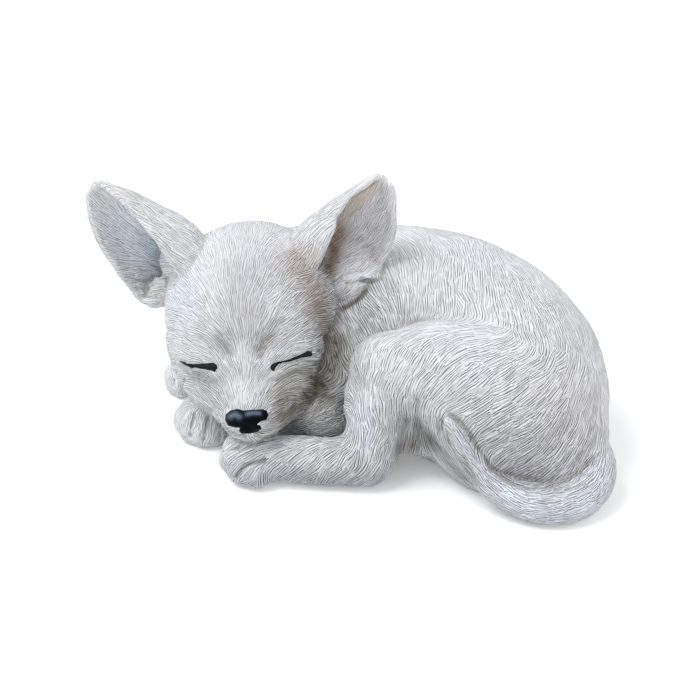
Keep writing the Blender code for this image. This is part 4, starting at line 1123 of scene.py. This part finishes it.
def plain_paint(name, colour, dark, roughness, scale, rise, metallic=0.0, specular=0.5, sheen_colour=None):
    """A painted or moulded finish with its own mottling and grain, and a painted highlight in another colour where
    the form carries one.
    """
    material, tree, shader = shader_of(name, roughness, specular)
    shader.inputs["Metallic"].default_value = metallic
    place = node(tree, "TexCoord").outputs["Object"]
    cloud = node(tree, "TexNoise", {"Vector": place, "Scale": scale, "Detail": 4.0}).outputs["Fac"]
    grain = node(tree, "TexNoise", {"Vector": place, "Scale": scale * 9, "Detail": 2.0}).outputs["Fac"]
    paint = mixed(tree, ranged(tree, cloud, 0.35, 0.65), dark, colour)
    if sheen_colour:
        # painted highlight: the sheen colour where the form carries it
        painted_sheen = node(tree, "Attribute", attribute_name="painted_sheen").outputs["Fac"]
        paint = mixed(tree, maths(tree, "MULTIPLY", painted_sheen, ranged(tree, grain, 0.3, 0.6, 0.5, 1.0)), paint, sheen_colour)
    tree.links.new(paint, shader.inputs["Base Color"])
    tree.links.new(ranged(tree, cloud, 0.3, 0.7, roughness + 0.08, roughness - 0.05), shader.inputs["Roughness"])
    bump = node(tree, "Bump", {"Height": maths(tree, "ADD", cloud, maths(tree, "MULTIPLY", grain, 0.4)),
                               "Strength": 1.0, "Distance": rise})
    tree.links.new(bump.outputs[0], shader.inputs["Normal"])
    return material


def dress(piece, material, slot, *nodes):
    piece.data.materials.clear()
    piece.data.materials.append(material)
    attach(piece, "root")
    if nodes:
        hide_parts(*nodes)


def fitting(name, material):
    """A better finish for a solid that is kept as it is."""
    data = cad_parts[name].data
    for number in range(len(data.materials)):
        data.materials[number] = material


def aimed(name, data, place):
    """A camera or lamp at a place, turned to the figure."""
    made = placed(name, data)
    made.location = place
    made.rotation_mode = "QUATERNION"
    made.rotation_quaternion = (AIM - made.location).to_track_quat("-Z", "Y")
    return made


def camera():
    lens = bpy.data.cameras.new("camera")
    lens.lens = LENS
    lens.sensor_width = SENSOR
    lens.sensor_fit = "HORIZONTAL"
    bpy.context.scene.camera = aimed("camera", lens, eye_place())


def lamp(name, place, size, power):
    light = bpy.data.lights.new(name, "AREA")
    light.shape = "DISK"
    light.size = size
    light.energy = power
    aimed(name, light, place)


def in_view(tree):
    """1 for what the camera sees, also in a reflection or through glass."""
    path = node(tree, "LightPath").outputs
    seen_so = maths(tree, "MAXIMUM", path["Is Camera Ray"], path["Is Glossy Ray"])
    return maths(tree, "MAXIMUM", seen_so, path["Is Transmission Ray"])


# Stage: the floor, how bright it glows to the camera, and how bright the sky shines on the figure and in view
FLOOR_SIZE = 6
FLOOR_PAINT = (0.93, 0.93, 0.93, 1)
FLOOR_GLOW = 0.22
SKY_SHINE, SKY_IN_VIEW = 0.66, 1.0
SKY_COLOUR = (0.97, 0.985, 1.0, 1)
# Lamps: place, width and power in watts
WINDOW_LAMP = (-0.60, -0.20, 1.25), 0.8, 11.5
FILL_LAMP = (1.0, -0.55, 0.9), 1.2, 3.6


def stage():
    """A plain pale floor that the camera sees white, with the figure's shadow on it, and soft lamps."""
    select_only()
    bpy.ops.mesh.primitive_plane_add(size=FLOOR_SIZE, location=(0, 0, 0))
    floor = bpy.context.object
    floor.name = "floor"
    material, tree, shader = shader_of("floor_white", 0.9, 0.1)
    shader.inputs["Base Color"].default_value = FLOOR_PAINT
    shader.inputs["Emission Color"].default_value = (1, 1, 1, 1)
    tree.links.new(maths(tree, "MULTIPLY", in_view(tree), FLOOR_GLOW), shader.inputs["Emission Strength"])
    floor.data.materials.append(material)
    world = bpy.data.worlds.new("sky")
    bpy.context.scene.world = world
    world.use_nodes = True
    tree = world.node_tree
    sky = tree.nodes["Background"]
    tree.links.new(ranged(tree, in_view(tree), 0, 1, SKY_SHINE, SKY_IN_VIEW), sky.inputs["Strength"])
    sky.inputs["Color"].default_value = SKY_COLOUR
    lamp("window", *WINDOW_LAMP)
    lamp("fill", *FILL_LAMP)


skin, net, owner = coat()
carve(skin, net, owner)
nose = painted_form(skin, "nose_leather", NOSE, NOSE_CROWN, 3.2, NOSE_SCULPT, NOSE_SHEEN)
left_eye = painted_form(skin, "left_eye_paint", LEFT_EYE, EYE_CROWN, 1.2)
right_eye = painted_form(skin, "right_eye_paint", RIGHT_EYE, EYE_CROWN, 1.6)
stone = coat_paint("washed_stone")
for name, piece in parted(skin, owner).items():
    dress(piece, stone, "cast_stone", "body_casting" if name == "haunch" else name)
dress(nose, plain_paint("nose_gloss", *NOSE_GLOSS, specular=0.03, sheen_colour=NOSE_PAINTED_SHEEN), "nose_paint", "nose")
black = plain_paint("eye_black", *EYE_BLACK, specular=0.15)
dress(left_eye, black, "eye_paint", "left_eye_line")
dress(right_eye, black, "eye_paint", "right_eye_line")
fitting("base_plate", plain_paint("plate_grey", *PLATE_GREY))
fitting("filler_stopper", plain_paint("stopper_black", *STOPPER_BLACK))
steel = plain_paint("drawn_steel", *DRAWN_STEEL, metallic=1.0)
for name in ("neck_dowel", "hind_leg_pin", "near_forepaw_pin", "far_forepaw_pin", "tail_pin", "left_ear_pin",
             "right_ear_pin"):
    fitting(name, steel)
camera()
stage()
bpy.context.scene.view_settings.view_transform = "Standard"
